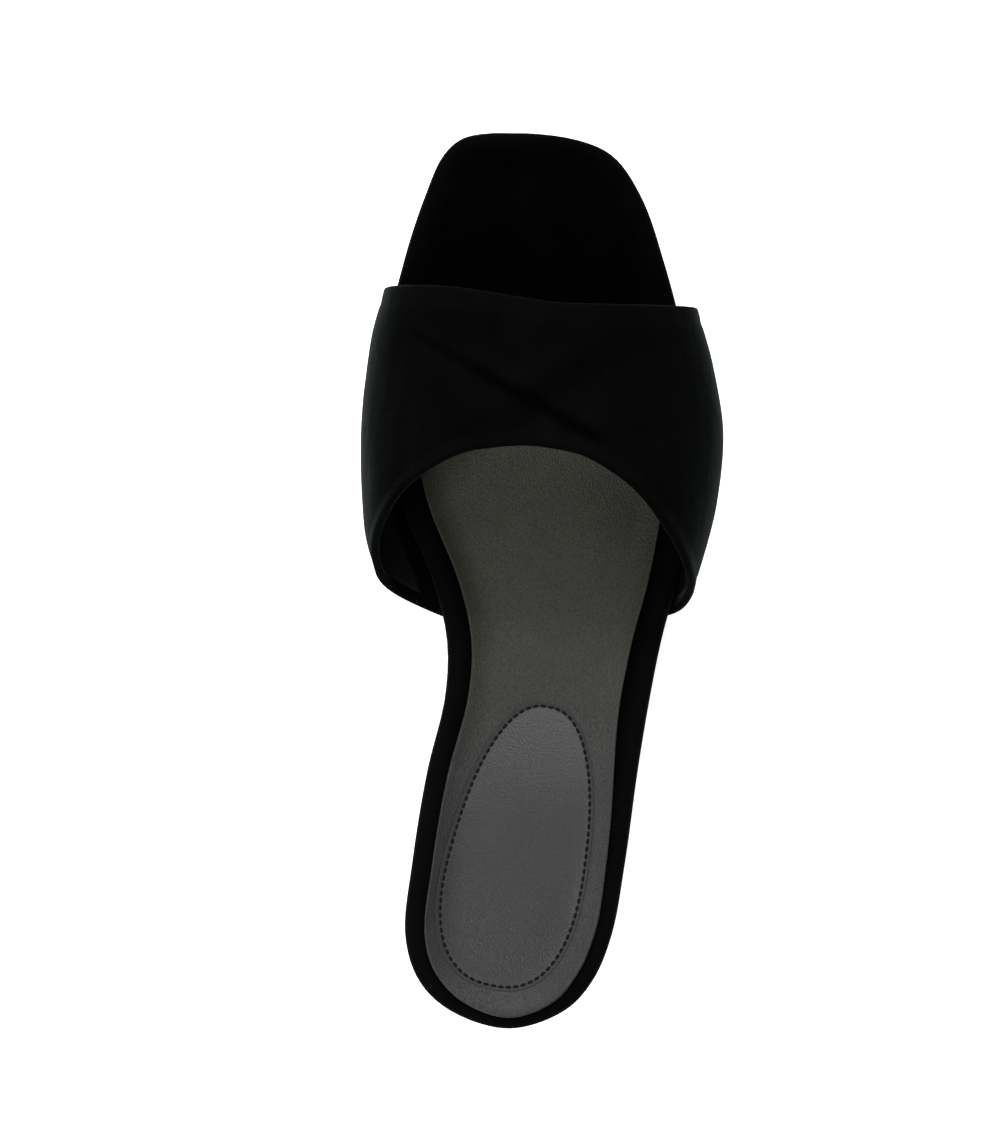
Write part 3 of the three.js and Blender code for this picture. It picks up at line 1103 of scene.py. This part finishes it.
@dataclass
class Footbed:
    """The cupped board that the foot stands on, wrapped in velvet with soft round edges."""

    form: SoleForm
    wardrobe: Wardrobe
    lower_round: float = 2.5
    round_steps: int = 6
    cup_rings: int = 10
    floor_shares: tuple[float, ...] = (0.55, 0.75, 0.9)
    # Painted sheen: the rim's velvet is lighter, less so at the toe, and fades to the floor's darker tone
    # inside the cup
    rim_painted_sheen: float = 0.5
    toe_rim_painted_sheen: float = 0.22
    floor_nap: float = 0.04
    sheen_fade_from: Range = (2.0, 9.0)
    toe_from: Range = (150.0, 205.0)

    def build(self) -> None:
        """Makes the velvet-covered board."""
        form = self.form

        def under(along: float) -> float:
            """The board's under face."""
            return form.rim_top(along) - form.footbed_thick

        def floor(point: RimPoint, share: float) -> float:
            """A step from the cup's foot to the sole's middle line."""
            return max(form.cup_ends, blend(form.cup_ends, point.reach, share))

        rings = [form.spine_ring(under), form.spine_ring(under, MIDWAY)]
        for inset, rise in reversed(quarter(self.lower_round, self.round_steps)):
            rings.append(form.level_ring(inset, under, self.lower_round - rise))
        insets = [inset for inset, _ in quarter(form.upper_round, self.round_steps)]
        spread = form.cup_ends - form.upper_round
        insets += [form.upper_round + spread * k / self.cup_rings for k in range(1, self.cup_rings + 1)]
        shares = (*self.floor_shares, 1.0)
        sheen_fade = [0.0] * len(rings)
        sheen_fade += [ease_between(inset, *self.sheen_fade_from) for inset in insets]
        sheen_fade += [1.0] * len(shares)
        rings += [form.bed_ring(lambda point, inset=inset: inset) for inset in insets]
        rings += [form.bed_ring(lambda point, share=share: floor(point, share)) for share in shares]
        # Painted sheen on the rounded rim, fading to the darker floor down the cup's wall
        rim_sheen_naps = [
            blend(self.rim_painted_sheen, self.toe_rim_painted_sheen, ease_between(point.along, *self.toe_from))
            for point in form.rim_points
        ]
        naps = [[blend(nap, self.floor_nap, share) for nap in rim_sheen_naps] for share in sheen_fade]
        self.wardrobe.dress(Bench.loft("footbed_velvet", rings, naps), VELVET, Slot.VELVET, "footbed")


@dataclass
class Sock:
    """The grained leather sheet that lies in the cup, from the heel to under the strap."""

    form: SoleForm
    wardrobe: Wardrobe
    thick: float = 1.2
    edge_soft: float = 0.5
    front: float = 176.0
    front_wide: float = 90.0
    front_long: float = 120.0
    edge_steps: int = 4
    cup_rings: int = 9
    floor_shares: tuple[float, ...] = (0.25, 0.5, 0.7, 0.85)

    def build(self) -> Piece:
        """Makes the leather sheet, with an oval end under the strap.

        Returns:
            The sheet.
        """
        form = self.form
        low = form.seat_gap
        top = low + self.thick
        wall = [k / self.cup_rings for k in range(self.cup_rings + 1)]
        steps = [(self._floor(share), low) for share in (1.0, MIDWAY)]
        steps += [(self._wall(0.0, share), low) for share in reversed(wall)]
        for inset, rise in quarter(self.edge_soft, self.edge_steps):
            steps.append((self._wall(inset, 0.0), top - self.edge_soft + rise))
        steps += [(self._wall(self.edge_soft, share), top) for share in wall[1:]]
        steps += [(self._floor(share), top) for share in (*self.floor_shares, 1.0)]
        sheet = Bench.loft("sock_leather", [form.bed_ring(inset, lift) for inset, lift in steps])
        middle = form.place(form.spine(self.front).x, self.front - self.front_long, 0)
        Bench.trim(sheet, middle, self.front_wide * MM, self.front_long * MM)
        return self.wardrobe.dress(sheet, SOCK_LEATHER, Slot.SOCK, "sock")

    def _wall(self, inset: float, share: float) -> Callable[[RimPoint], float]:
        """Gives places on the cup's wall, by share of the way down it from an inset in the sheet's edge."""
        return lambda point: blend(self.form.rim_width(point) + inset, self.form.cup_ends, share)

    def _floor(self, share: float) -> Callable[[RimPoint], float]:
        """Gives places on the cup's floor, by share of the way from its foot to the sole's middle line."""
        return lambda point: blend(self.form.cup_ends, point.reach, share)


@dataclass
class StitchRow:
    """A row of short thread stitches, each a rounded grain that dips into the leather at both ends."""

    length: float = 1.75
    width: float = 1.0
    height: float = 0.5
    pitch: float = 2.1
    sunk: float = 0.02
    sides: int = 8
    rings: int = 6

    def sew(self, name: str, *paths: Sequence[tuple[Vector, Vector]]) -> Piece:
        """Lays stitches along paths.

        Args:
            name: The new piece's name.
            paths: Each a row of points in the part's frame, close together, with the surface's normals.

        Returns:
            All the stitches as one piece.
        """
        places = []
        for path in paths:
            reach = reaches([spot for spot, _ in path])
            count = round(reach[-1] / (self.pitch * MM))
            for k in range(count):
                i, share = locate(reach, reach[-1] * (k + MIDWAY) / count)
                (start, start_normal), (end, end_normal) = path[i : i + 2]
                normal = start_normal.lerp(end_normal, share).normalized()
                run = end - start
                run = (run - normal * run.dot(normal)).normalized()
                turn = Matrix((run, normal.cross(run), normal)).transposed().to_4x4()
                spot = start.lerp(end, share) - normal * self.sunk * MM
                places.append(Matrix.Translation(spot) @ turn)
        return Bench.copies(name, self._stitch(), places)

    def _stitch(self) -> Piece:
        """Makes one stitch at the origin, along X.

        Returns:
            The stitch.
        """
        Bench.deselect()
        bpy.ops.mesh.primitive_uv_sphere_add(segments=self.sides, ring_count=self.rings, radius=0.5)
        stitch = bpy.context.object
        bpy.ops.transform.rotate(value=math.pi / 2, orient_axis="Y", center_override=(0, 0, 0))
        bpy.ops.object.transform_apply(location=True, rotation=True, scale=True)
        stitch.data.transform(Matrix.Diagonal((self.length * MM, self.width * MM, self.height * MM, 1.0)))
        return stitch


@dataclass
class HeelPad:
    """The egg-shaped leather pad, sewn down into a shallow bed that its stitches press in the sock."""

    form: SoleForm
    wardrobe: Wardrobe
    length: float = 81.7
    width: float = 39.7
    narrowing: float = 0.176
    fullness: float = 0.83
    middle_x: float = -5.8
    middle_along: float = 51.2
    turn_deg: float = -12.0
    stitch_inset: float = 1.15
    recess_depth: float = 0.3
    recess_slope: float = 1.15
    recess_reach: float = 4.5
    recess_cuts: int = 7
    recess_facing: float = 0.5
    points: int = 144
    line_points: int = 1152
    dull_within: Range = (1.1, 1.9)
    stitches: StitchRow = field(default_factory=StitchRow)
    # Distance in from the pad's edge, and height above the sock
    profile: tuple[Range, ...] = (
        (0.0, 0.03), (0.0, 0.12), (0.08, 0.2), (0.3, 0.24), (0.75, 0.25), (1.15, 0.24), (1.55, 0.28),
        (2.2, 0.31), (3.2, 0.34), (5.0, 0.38), (8.0, 0.43), (11.0, 0.46), (15.5, 0.48),
    )

    def build(self, sock: Piece) -> None:
        """Makes the pad and its stitches.

        Args:
            sock: The leather that the pad is sewn to.
        """
        self._press(sock)
        bed = Surface(sock)
        steps = [*self.profile, (self.width / 2, self.profile[-1][1])]
        under = self.profile[0][1]
        steps = [*((inset, under) for inset, _ in reversed(steps[2:])), *steps]
        rings = [self._ring(bed, inset, lift) for inset, lift in steps]
        dulled = [1 - ease_between(inset, *self.dull_within) for inset, _ in steps]
        pad = Bench.loft("heel_pad_leather", rings, [[share] * self.points for share in dulled])
        self.wardrobe.dress(pad, PAD_LEATHER, Slot.PAD, "heel_pad")
        line = self._ring(bed, self.stitch_inset, dict(self.profile)[self.stitch_inset])
        path = []
        for i, spot in enumerate(line):
            ahead = line[(i + 1) % len(line)] - line[i - 1]
            path.append((spot, Vector((ahead.y, -ahead.x, 0.0)).cross(ahead).normalized()))
        row = self.stitches.sew("heel_pad_stitches", [*path, path[0]])
        self.wardrobe.dress(row, THREAD, Slot.PAD)

    def _press(self, sock: Piece) -> None:
        """Presses the pad's bed into the sock, which rises to its own level outside the stitches.

        Args:
            sock: The leather that the pad is sewn to.
        """
        line = self._outline(self.stitch_inset, self.line_points)
        tree = KDTree(len(line))
        for number, spot in enumerate(line):
            tree.insert(spot, number)
        tree.balance()

        def outside(spot: Vector) -> float:
            """Gives how far a place is out from the line of stitches, seen from above.

            Args:
                spot: The place, in the part's frame.

            Returns:
                The distance in millimetres, below zero inside the line.
            """
            flat = Vector((spot.x, spot.y, 0.0))
            near, number, gap = tree.find(flat)
            ahead = line[(number + 1) % len(line)] - line[number - 1]
            outward = Vector((ahead.y, -ahead.x, 0.0))
            return math.copysign(gap / MM, outward.dot(flat - near))

        Bench.edit(sock)
        bpy.ops.mesh.select_mode(type="FACE")
        bpy.ops.mesh.select_all(action="DESELECT")
        mesh = bmesh.from_edit_mesh(sock.data)
        for face in mesh.faces:
            near = min(abs(outside(corner.co)) for corner in face.verts) < self.recess_reach
            face.select_set(face.normal.z > self.recess_facing and near)
        bmesh.update_edit_mesh(sock.data)
        bpy.ops.mesh.subdivide(number_cuts=self.recess_cuts)
        mesh = bmesh.from_edit_mesh(sock.data)
        for vertex in mesh.verts:
            if vertex.normal.z > self.recess_facing:
                reach = max(0.0, outside(vertex.co)) / self.recess_slope
                vertex.co.z -= self.recess_depth * math.exp(-(reach**2)) * MM
        bmesh.update_edit_mesh(sock.data)
        bpy.ops.mesh.select_mode(type="VERT")
        bpy.ops.object.mode_set(mode="OBJECT")

    def _outline(self, inset: float, count: int) -> list[Vector]:
        """Draws the egg on the floor, set in from its edge.

        Args:
            inset: Distance in from the pad's edge, in millimetres.
            count: How many points to give.

        Returns:
            The egg's points in the part's frame.
        """
        half_long = self.length / 2
        half_wide = self.width / 2
        turn = Matrix.Rotation(math.radians(self.turn_deg), 2)
        spots = []
        for k in range(count):
            angle = 2 * math.pi * k / count
            forward = self._full(math.sin(angle))
            across = self._full(math.cos(angle)) * (1 - self.narrowing * forward)
            spot = turn @ Vector((across * max(0.0, half_wide - inset), forward * (half_long - inset)))
            spots.append(self.form.place(spot.x + self.middle_x, spot.y + self.middle_along, 0))
        return spots

    def _ring(self, bed: Surface, inset: float, lift: float) -> list[Vector]:
        """Lays the egg, set in from its edge, at a height above the sock."""
        return [bed.drop(spot) + Vector((0, 0, lift * MM)) for spot in self._outline(inset, self.points)]

    def _full(self, value: float) -> float:
        """Fills out the egg's four quarters."""
        return math.copysign(abs(value) ** self.fullness, value)


@dataclass
class StrapForm:
    """The strap's inner face over the foot, as a sheet that is read by share round and place along."""

    form: SoleForm
    shoulder_medial: float = 2.25
    shoulder_lateral: float = 1.95
    tuck_inset: float = 1.0
    tuck_rise: float = 0.55
    tuck_run: float = 2.4
    tuck_lift: float = 0.9
    wall_steps: int = 24
    shoulder_steps: int = 48
    along_low: float = 112.0
    along_high: float = 211.0
    along_steps: int = 132
    share_steps: int = 240
    normal_step: float = 1.5
    sheet: list[list[Vector]] = field(init=False)

    def __post_init__(self) -> None:
        """Works out evenly spaced sections, each divided into equal shares."""
        steps = [k / self.along_steps for k in range(self.along_steps + 1)]
        self.sheet = [self._shares(blend(self.along_low, self.along_high, step)) for step in steps]

    def _side(self, side: Side, along: float, crown: Vector) -> list[Vector]:
        """Draws one side of a section, from its tuck in the seam up to the crown.

        Args:
            side: The side of the foot.
            along: The section's distance from the heel back, in millimetres.
            crown: X and height of the section's crown.

        Returns:
            Points in X and height.
        """
        out = side.outward
        foot = self.form.edge(side, along)
        base = self.form.seam(along)
        flare = STRAP.read(f"{side.value}_out", along)
        high = STRAP.read(f"{side.value}_high", along)
        corners = (
            Vector((-self.tuck_inset, self.tuck_rise)),
            Vector((self.tuck_run - self.tuck_inset, self.tuck_rise + self.tuck_lift)),
            Vector((flare, high / 2)),
            Vector((flare, high)),
        )
        points = []
        for k in range(self.wall_steps + 1):
            t = k / self.wall_steps
            weights = ((1 - t) ** 3, 3 * t * (1 - t) ** 2, 3 * t * t * (1 - t), t**3)
            spot = sum((corner * weight for corner, weight in zip(corners, weights)), Vector((0, 0)))
            points.append(Vector((foot + out * spot.x, base + spot.y)))
        widest = points[-1]
        power = 2 / (self.shoulder_lateral if side is Side.LATERAL else self.shoulder_medial)
        for k in range(1, self.shoulder_steps + 1):
            angle = math.pi / 2 * k / self.shoulder_steps
            across = abs(math.cos(angle)) ** power
            up = math.sin(angle) ** power
            points.append(Vector((blend(crown.x, widest.x, across), blend(widest.y, crown.y, up))))
        return points

    def _shares(self, along: float) -> list[Vector]:
        """Divides a section into equal shares of its length.

        Args:
            along: The section's distance from the heel back, in millimetres.

        Returns:
            The points between the shares, in the tables' millimetres.
        """
        crown_x = self.form.spine(along).x + STRAP.read("shift", along)
        crown_height = self.form.rim_top(along) + STRAP.read("crown", along)
        crown = Vector((crown_x, crown_height))
        path = self._side(Side.MEDIAL, along, crown) + self._side(Side.LATERAL, along, crown)[-2::-1]
        reach = reaches(path)
        row = []
        for k in range(self.share_steps + 1):
            i, share = locate(reach, reach[-1] * k / self.share_steps)
            spot = path[i].lerp(path[i + 1], share)
            row.append(Vector((spot.x, along, spot.y)))
        return row

    def point(self, share: float, along: float) -> Vector:
        """Reads the sheet between its rows.

        Args:
            share: How far round from the medial seam, from 0 to 1.
            along: Distance from the heel back, in millimetres.

        Returns:
            The point, in the tables' millimetres.
        """
        u = min(max(share, 0.0), 1.0) * self.share_steps
        v = (along - self.along_low) / (self.along_high - self.along_low) * self.along_steps
        i = min(int(u), self.share_steps - 1)
        j = min(max(int(v), 0), self.along_steps - 1)
        near = self.sheet[j][i].lerp(self.sheet[j][i + 1], u - i)
        far = self.sheet[j + 1][i].lerp(self.sheet[j + 1][i + 1], u - i)
        return near.lerp(far, v - j)

    def normal(self, share: float, along: float) -> Vector:
        """Gives the way out of the foot at a point of the sheet.

        Args:
            share: How far round from the medial seam, from 0 to 1.
            along: Distance from the heel back, in millimetres.

        Returns:
            The normal, one long.
        """
        step = self.normal_step
        aside = step / self.share_steps
        round_way = self.point(share + aside, along) - self.point(share - aside, along)
        back_way = self.point(share, along - step) - self.point(share, along + step)
        return back_way.cross(round_way).normalized()


@dataclass
class Strap:
    """The broad velvet strap: velvet turned over its edges, and a leather lining let in behind."""

    form: SoleForm
    wardrobe: Wardrobe
    thick: float = 2.4
    edge_round: float = 1.0
    edge_steps: int = 5
    rings: int = 150
    rows: int = 44
    crowding: float = 0.08
    turn_in: float = 2.6
    lining_bed: float = 0.42
    lining_proud: float = 0.12
    lining_share: float = 0.035
    lining_slope: float = 0.5
    lining_gap: float = 0.05
    lining_rings: int = 110
    lining_rows: int = 30
    hem_from_edge: float = 3.4
    hem_depth: float = 0.22
    hem_width: float = 1.3
    crown_fill: float = 0.35
    fill_from: Range = (3.4, 13.6)
    nap: float = 0.22
    # Painted shade in the creases, then painted light on the medial side, painted shade on the lateral side
    # and painted sheen along the edges, all set into the velvet's colour through its nap
    crease_painted_shade: float = 0.4
    plain_ends: Range = (0.02, 0.1)
    turned_down: Range = (0.72, 0.95)
    medial_painted_light: float = 0.25
    lateral_painted_shade: float = -0.05
    edge_sheen_band: Range = (2.0, 7.0)
    edge_painted_sheen: float = 0.12
    stitches: StitchRow = field(default_factory=lambda: StitchRow(1.5, 0.45, 0.32, 2.5))
    stitch_from_edge: float = 1.3
    surface: StrapForm = field(init=False)

    def __post_init__(self) -> None:
        """Works out the strap's sheet."""
        self.surface = StrapForm(self.form)

    def build(self) -> None:
        """Makes the velvet, its lining, and the lining's stitches."""
        shares = [k / self.rings for k in range(self.rings + 1)]
        shares = [t - self.crowding * math.sin(2 * math.pi * t) for t in shares]
        loops = [self._velvet_loop(share) for share in shares]
        naps = [[self._nap_with_painted_light(share, spot) for spot in loop] for share, loop in zip(shares, loops)]
        rings = [self._flat(loops[0]), *loops, self._flat(loops[-1])]
        velvet = Bench.loft("strap_velvet", rings, [naps[0], *naps, naps[-1]])
        self.wardrobe.dress(velvet, VELVET, Slot.VELVET, "upper_strap")
        span = 1 - 2 * self.lining_share
        shares = [self.lining_share + span * k / self.lining_rings for k in range(self.lining_rings + 1)]
        loops = [self._lining_loop(share) for share in shares]
        lining = Bench.loft("strap_lining", [self._flat(loops[0]), *loops, self._flat(loops[-1])])
        self.wardrobe.dress(lining, LINING_LEATHER, Slot.SOCK)
        paths = [self._stitch_path(name, shares) for name in ("front", "rear")]
        rows = self.stitches.sew("strap_lining_stitches", *paths)
        self.wardrobe.dress(rows, THREAD, Slot.SOCK)

    def _flat(self, loop: Sequence[Vector]) -> list[Vector]:
        """Presses a loop's two faces together, which closes the strap's end."""
        return [(spot + opposite) / 2 for spot, opposite in zip(loop, reversed(loop))]

    def _spot(self, share: float, along: float, lift: float) -> Vector:
        """Gives a point off the strap's inner face, in the part's frame."""
        spot = self.surface.point(share, along) + self.surface.normal(share, along) * lift
        return self.form.place(*spot)

    def _across(self, share: float, inset: float, rows: int) -> list[float]:
        """Lists places along the foot from the strap's front edge to its rear edge.

        Args:
            share: How far round the strap, from 0 to 1.
            inset: How far the list stops short of both edges, in millimetres.
            rows: How many steps it takes.

        Returns:
            Distances from the heel back, in millimetres.
        """
        front = STRAP_EDGES.read("front", share) - inset
        rear = STRAP_EDGES.read("rear", share) + inset
        return [blend(front, rear, k / rows) for k in range(rows + 1)]

    def _inside(self, share: float, along: float) -> float:
        """Gives how far a place is from the nearer of the strap's two edges, in millimetres."""
        return min(STRAP_EDGES.read("front", share) - along, along - STRAP_EDGES.read("rear", share))

    def _outer_lift(self, share: float, along: float) -> float:
        """Gives the velvet's height off the inner face, with its creases and the line of its turned hem.

        Args:
            share: How far round the strap, from 0 to 1.
            along: Distance from the heel back, in millimetres.

        Returns:
            The height in millimetres.
        """
        spot = self.surface.point(share, along)
        inside = self._inside(share, along)
        hem = self.hem_depth * math.exp(-(((inside - self.hem_from_edge) / self.hem_width) ** 2))
        fill = self.crown_fill * ease_between(inside, *self.fill_from)
        creases = sum(crease.depth_at(spot.x, along) for crease in STRAP_CREASES)
        clear = ease_between(min(share, 1 - share), *self.plain_ends)
        return self.thick + clear * (fill - hem - creases)

    def _nap_with_painted_light(self, share: float, spot: Vector) -> float:
        """Gives how far the pile's nap is raised, with painted light and shade: painted shade in the creases,
        painted light on the medial side, painted shade on the lateral side and painted sheen along the edges.

        Args:
            share: How far round the strap the point is.
            spot: The point, in the part's frame.

        Returns:
            The nap with its painted light and shade, from 0 to 1.
        """
        place = spot / MM - self.form.origin
        creases = sum(crease.depth_at(place.x, place.y) for crease in STRAP_CREASES)
        facing = self.surface.normal(share, place.y).x
        medial = ease_between(-facing, *self.turned_down)
        lateral = ease_between(facing, *self.turned_down)
        edge = 1 - ease_between(self._inside(share, place.y), *self.edge_sheen_band)
        # Painted light and shade: lighter where the strap turns to the medial side, darker on the lateral
        # side, lighter near the edges as painted sheen, darker in the creases as painted shade
        painted_light_and_shade = self.medial_painted_light * medial + self.lateral_painted_shade * lateral + self.edge_painted_sheen * edge
        return min(1.0, max(0.0, self.nap + painted_light_and_shade - self.crease_painted_shade * creases))

    def _velvet_loop(self, share: float) -> list[Vector]:
        """Runs once round the strap's thickness: over the velvet, round the rear edge, back inside.

        Args:
            share: How far round the strap, from 0 to 1.

        Returns:
            The loop's points in the part's frame.
        """
        places = self._across(share, 0.0, self.rows)
        outer = [self._spot(share, along, self._outer_lift(share, along)) for along in places]
        covered = ease_between(min(share, 1 - share), self.lining_share / 2, self.lining_share)
        inner = []
        for along in places:
            lined = ease_between(self._inside(share, along), self.turn_in - self.lining_slope, self.turn_in)
            inner.append(self._spot(share, along, self.lining_bed * lined * covered))
        rear_turn = self._edge_turn(outer[-1], inner[-1], outer[-1] - outer[-2])
        front_turn = self._edge_turn(inner[0], outer[0], outer[0] - outer[1])
        half = len(front_turn) // 2
        return [*front_turn[half:], *outer, *rear_turn, *reversed(inner), *front_turn[:half]]

    def _edge_turn(self, start: Vector, end: Vector, away: Vector) -> list[Vector]:
        """Rounds an edge from one face to the other.

        Args:
            start: Where the one face ends.
            end: Where the other face begins.
            away: The way out of the edge.

        Returns:
            The points between them.
        """
        way = away.normalized() * self.edge_round * MM
        middle = (start + end) / 2
        half = (start - end) / 2
        turns = [math.pi * k / (self.edge_steps + 1) for k in range(1, self.edge_steps + 1)]
        return [middle + half * math.cos(turn) + way * math.sin(turn) for turn in turns]

    def _lining_loop(self, share: float) -> list[Vector]:
        """Runs once round the lining's thickness.

        Args:
            share: How far round the strap, from 0 to 1.

        Returns:
            The loop's points in the part's frame.
        """
        places = self._across(share, self.turn_in, self.lining_rows)
        outer = [self._spot(share, along, self.lining_bed - self.lining_gap) for along in places]
        inner = [self._spot(share, along, -self.lining_proud) for along in places]
        return [*outer, *reversed(inner)]

    def _stitch_path(self, name: str, shares: Sequence[float]) -> list[tuple[Vector, Vector]]:
        """Follows the lining's front or rear edge, on the side that faces the foot.

        Args:
            name: The edge's name.
            shares: How far round the strap each point is.

        Returns:
            Points in the part's frame, with the lining's normals.
        """
        inset = (self.turn_in + self.stitch_from_edge) * (-1 if name == "front" else 1)
        path = []
        for share in shares:
            along = STRAP_EDGES.read(name, share) + inset
            spot = self._spot(share, along, -self.lining_proud)
            path.append((spot, -self.surface.normal(share, along)))
        return path


@dataclass(frozen=True)
class Lamp:
    """A square soft lamp that faces the shoe, in watts and metres."""

    name: str
    power: float
    size: float
    place: Triple

    def hang(self) -> None:
        """Adds the lamp at its place."""
        Bench.deselect()
        bpy.ops.object.light_add(type="AREA", location=self.place)
        lamp = bpy.context.object
        lamp.name = self.name
        lamp.data.energy = self.power
        lamp.data.size = self.size
        lamp.rotation_euler = (-Vector(self.place)).to_track_quat("-Z", "Y").to_euler()


@dataclass
class Studio:
    """A pale floor, soft lamps towards the toe and the medial side, and the camera straight above."""

    camera_height: float = 1.5
    camera_x: float = -0.0118
    camera_y: float = 0.004
    lens_mm: float = 166.12
    sensor_mm: float = 36.0
    clip_start: float = 0.01
    floor_size: float = 8.0
    floor_colour: Triple = (0.86, 0.86, 0.86)
    floor_roughness: float = 0.9
    floor_gloss: float = 0.1
    floor_glow: float = 0.85
    sky: float = 0.1
    lamps: tuple[Lamp, ...] = (
        Lamp("front_light", power=29.4, size=0.9, place=(0.0, 1.516, 0.875)),
        Lamp("high_front_light", power=9.4, size=0.8, place=(0.0, 1.004, 1.434)),
        Lamp("medial_front_light", power=4.0, size=0.9, place=(-1.072, 1.072, 0.875)),
        Lamp("medial_heel_light", power=25.0, size=0.8, place=(-0.71, -0.71, 1.434)),
        Lamp("top_light", power=3.4, size=0.5, place=(0.32, 0.32, 1.69)),
    )

    def build(self) -> None:
        """Makes the floor, the lights and the camera."""
        self._floor()
        self._sky()
        for lamp in self.lamps:
            lamp.hang()
        self._camera()
        bpy.context.scene.view_settings.view_transform = "Standard"

    def _floor(self) -> None:
        Bench.deselect()
        bpy.ops.mesh.primitive_plane_add(size=self.floor_size)
        floor = bpy.context.object
        floor.name = "studio_floor"
        bench = NodeBench("pale_floor")
        inputs = {
            "Base Color": (*self.floor_colour, 1.0),
            "Roughness": self.floor_roughness,
            "Specular IOR Level": self.floor_gloss,
            "Emission Color": (*WHITE, 1.0),
            "Emission Strength": self.floor_glow,
        }
        bench.fill(bench.shader, inputs)
        floor.data.materials.append(bench.material)

    def _sky(self) -> None:
        """Lights the scene evenly from all round."""
        world = bpy.data.worlds.new("soft_sky")
        world.use_nodes = True
        sky = world.node_tree.nodes["Background"].inputs
        sky["Color"].default_value = (*WHITE, 1.0)
        sky["Strength"].default_value = self.sky
        bpy.context.scene.world = world

    def _camera(self) -> None:
        """Hangs the camera above the shoe, with the toe at the top of the picture."""
        Bench.deselect()
        bpy.ops.object.camera_add(location=(self.camera_x, self.camera_y, self.camera_height))
        camera = bpy.context.object
        camera.name = "camera_above"
        camera.data.sensor_width = self.sensor_mm
        camera.data.lens = self.lens_mm
        camera.data.clip_start = self.clip_start
        bpy.context.scene.camera = camera


def main() -> None:
    """Builds the shoe from the floor up, then the studio."""
    logging.basicConfig(level=logging.INFO, format="%(name)s %(message)s")
    form = SoleForm()
    wardrobe = Wardrobe()
    Outsole(form, wardrobe).build()
    Platform(form, wardrobe).build()
    Footbed(form, wardrobe).build()
    sock = Sock(form, wardrobe).build()
    HeelPad(form, wardrobe).build(sock)
    Strap(form, wardrobe).build()
    Studio().build()


if __name__ == "__main__":
    main()
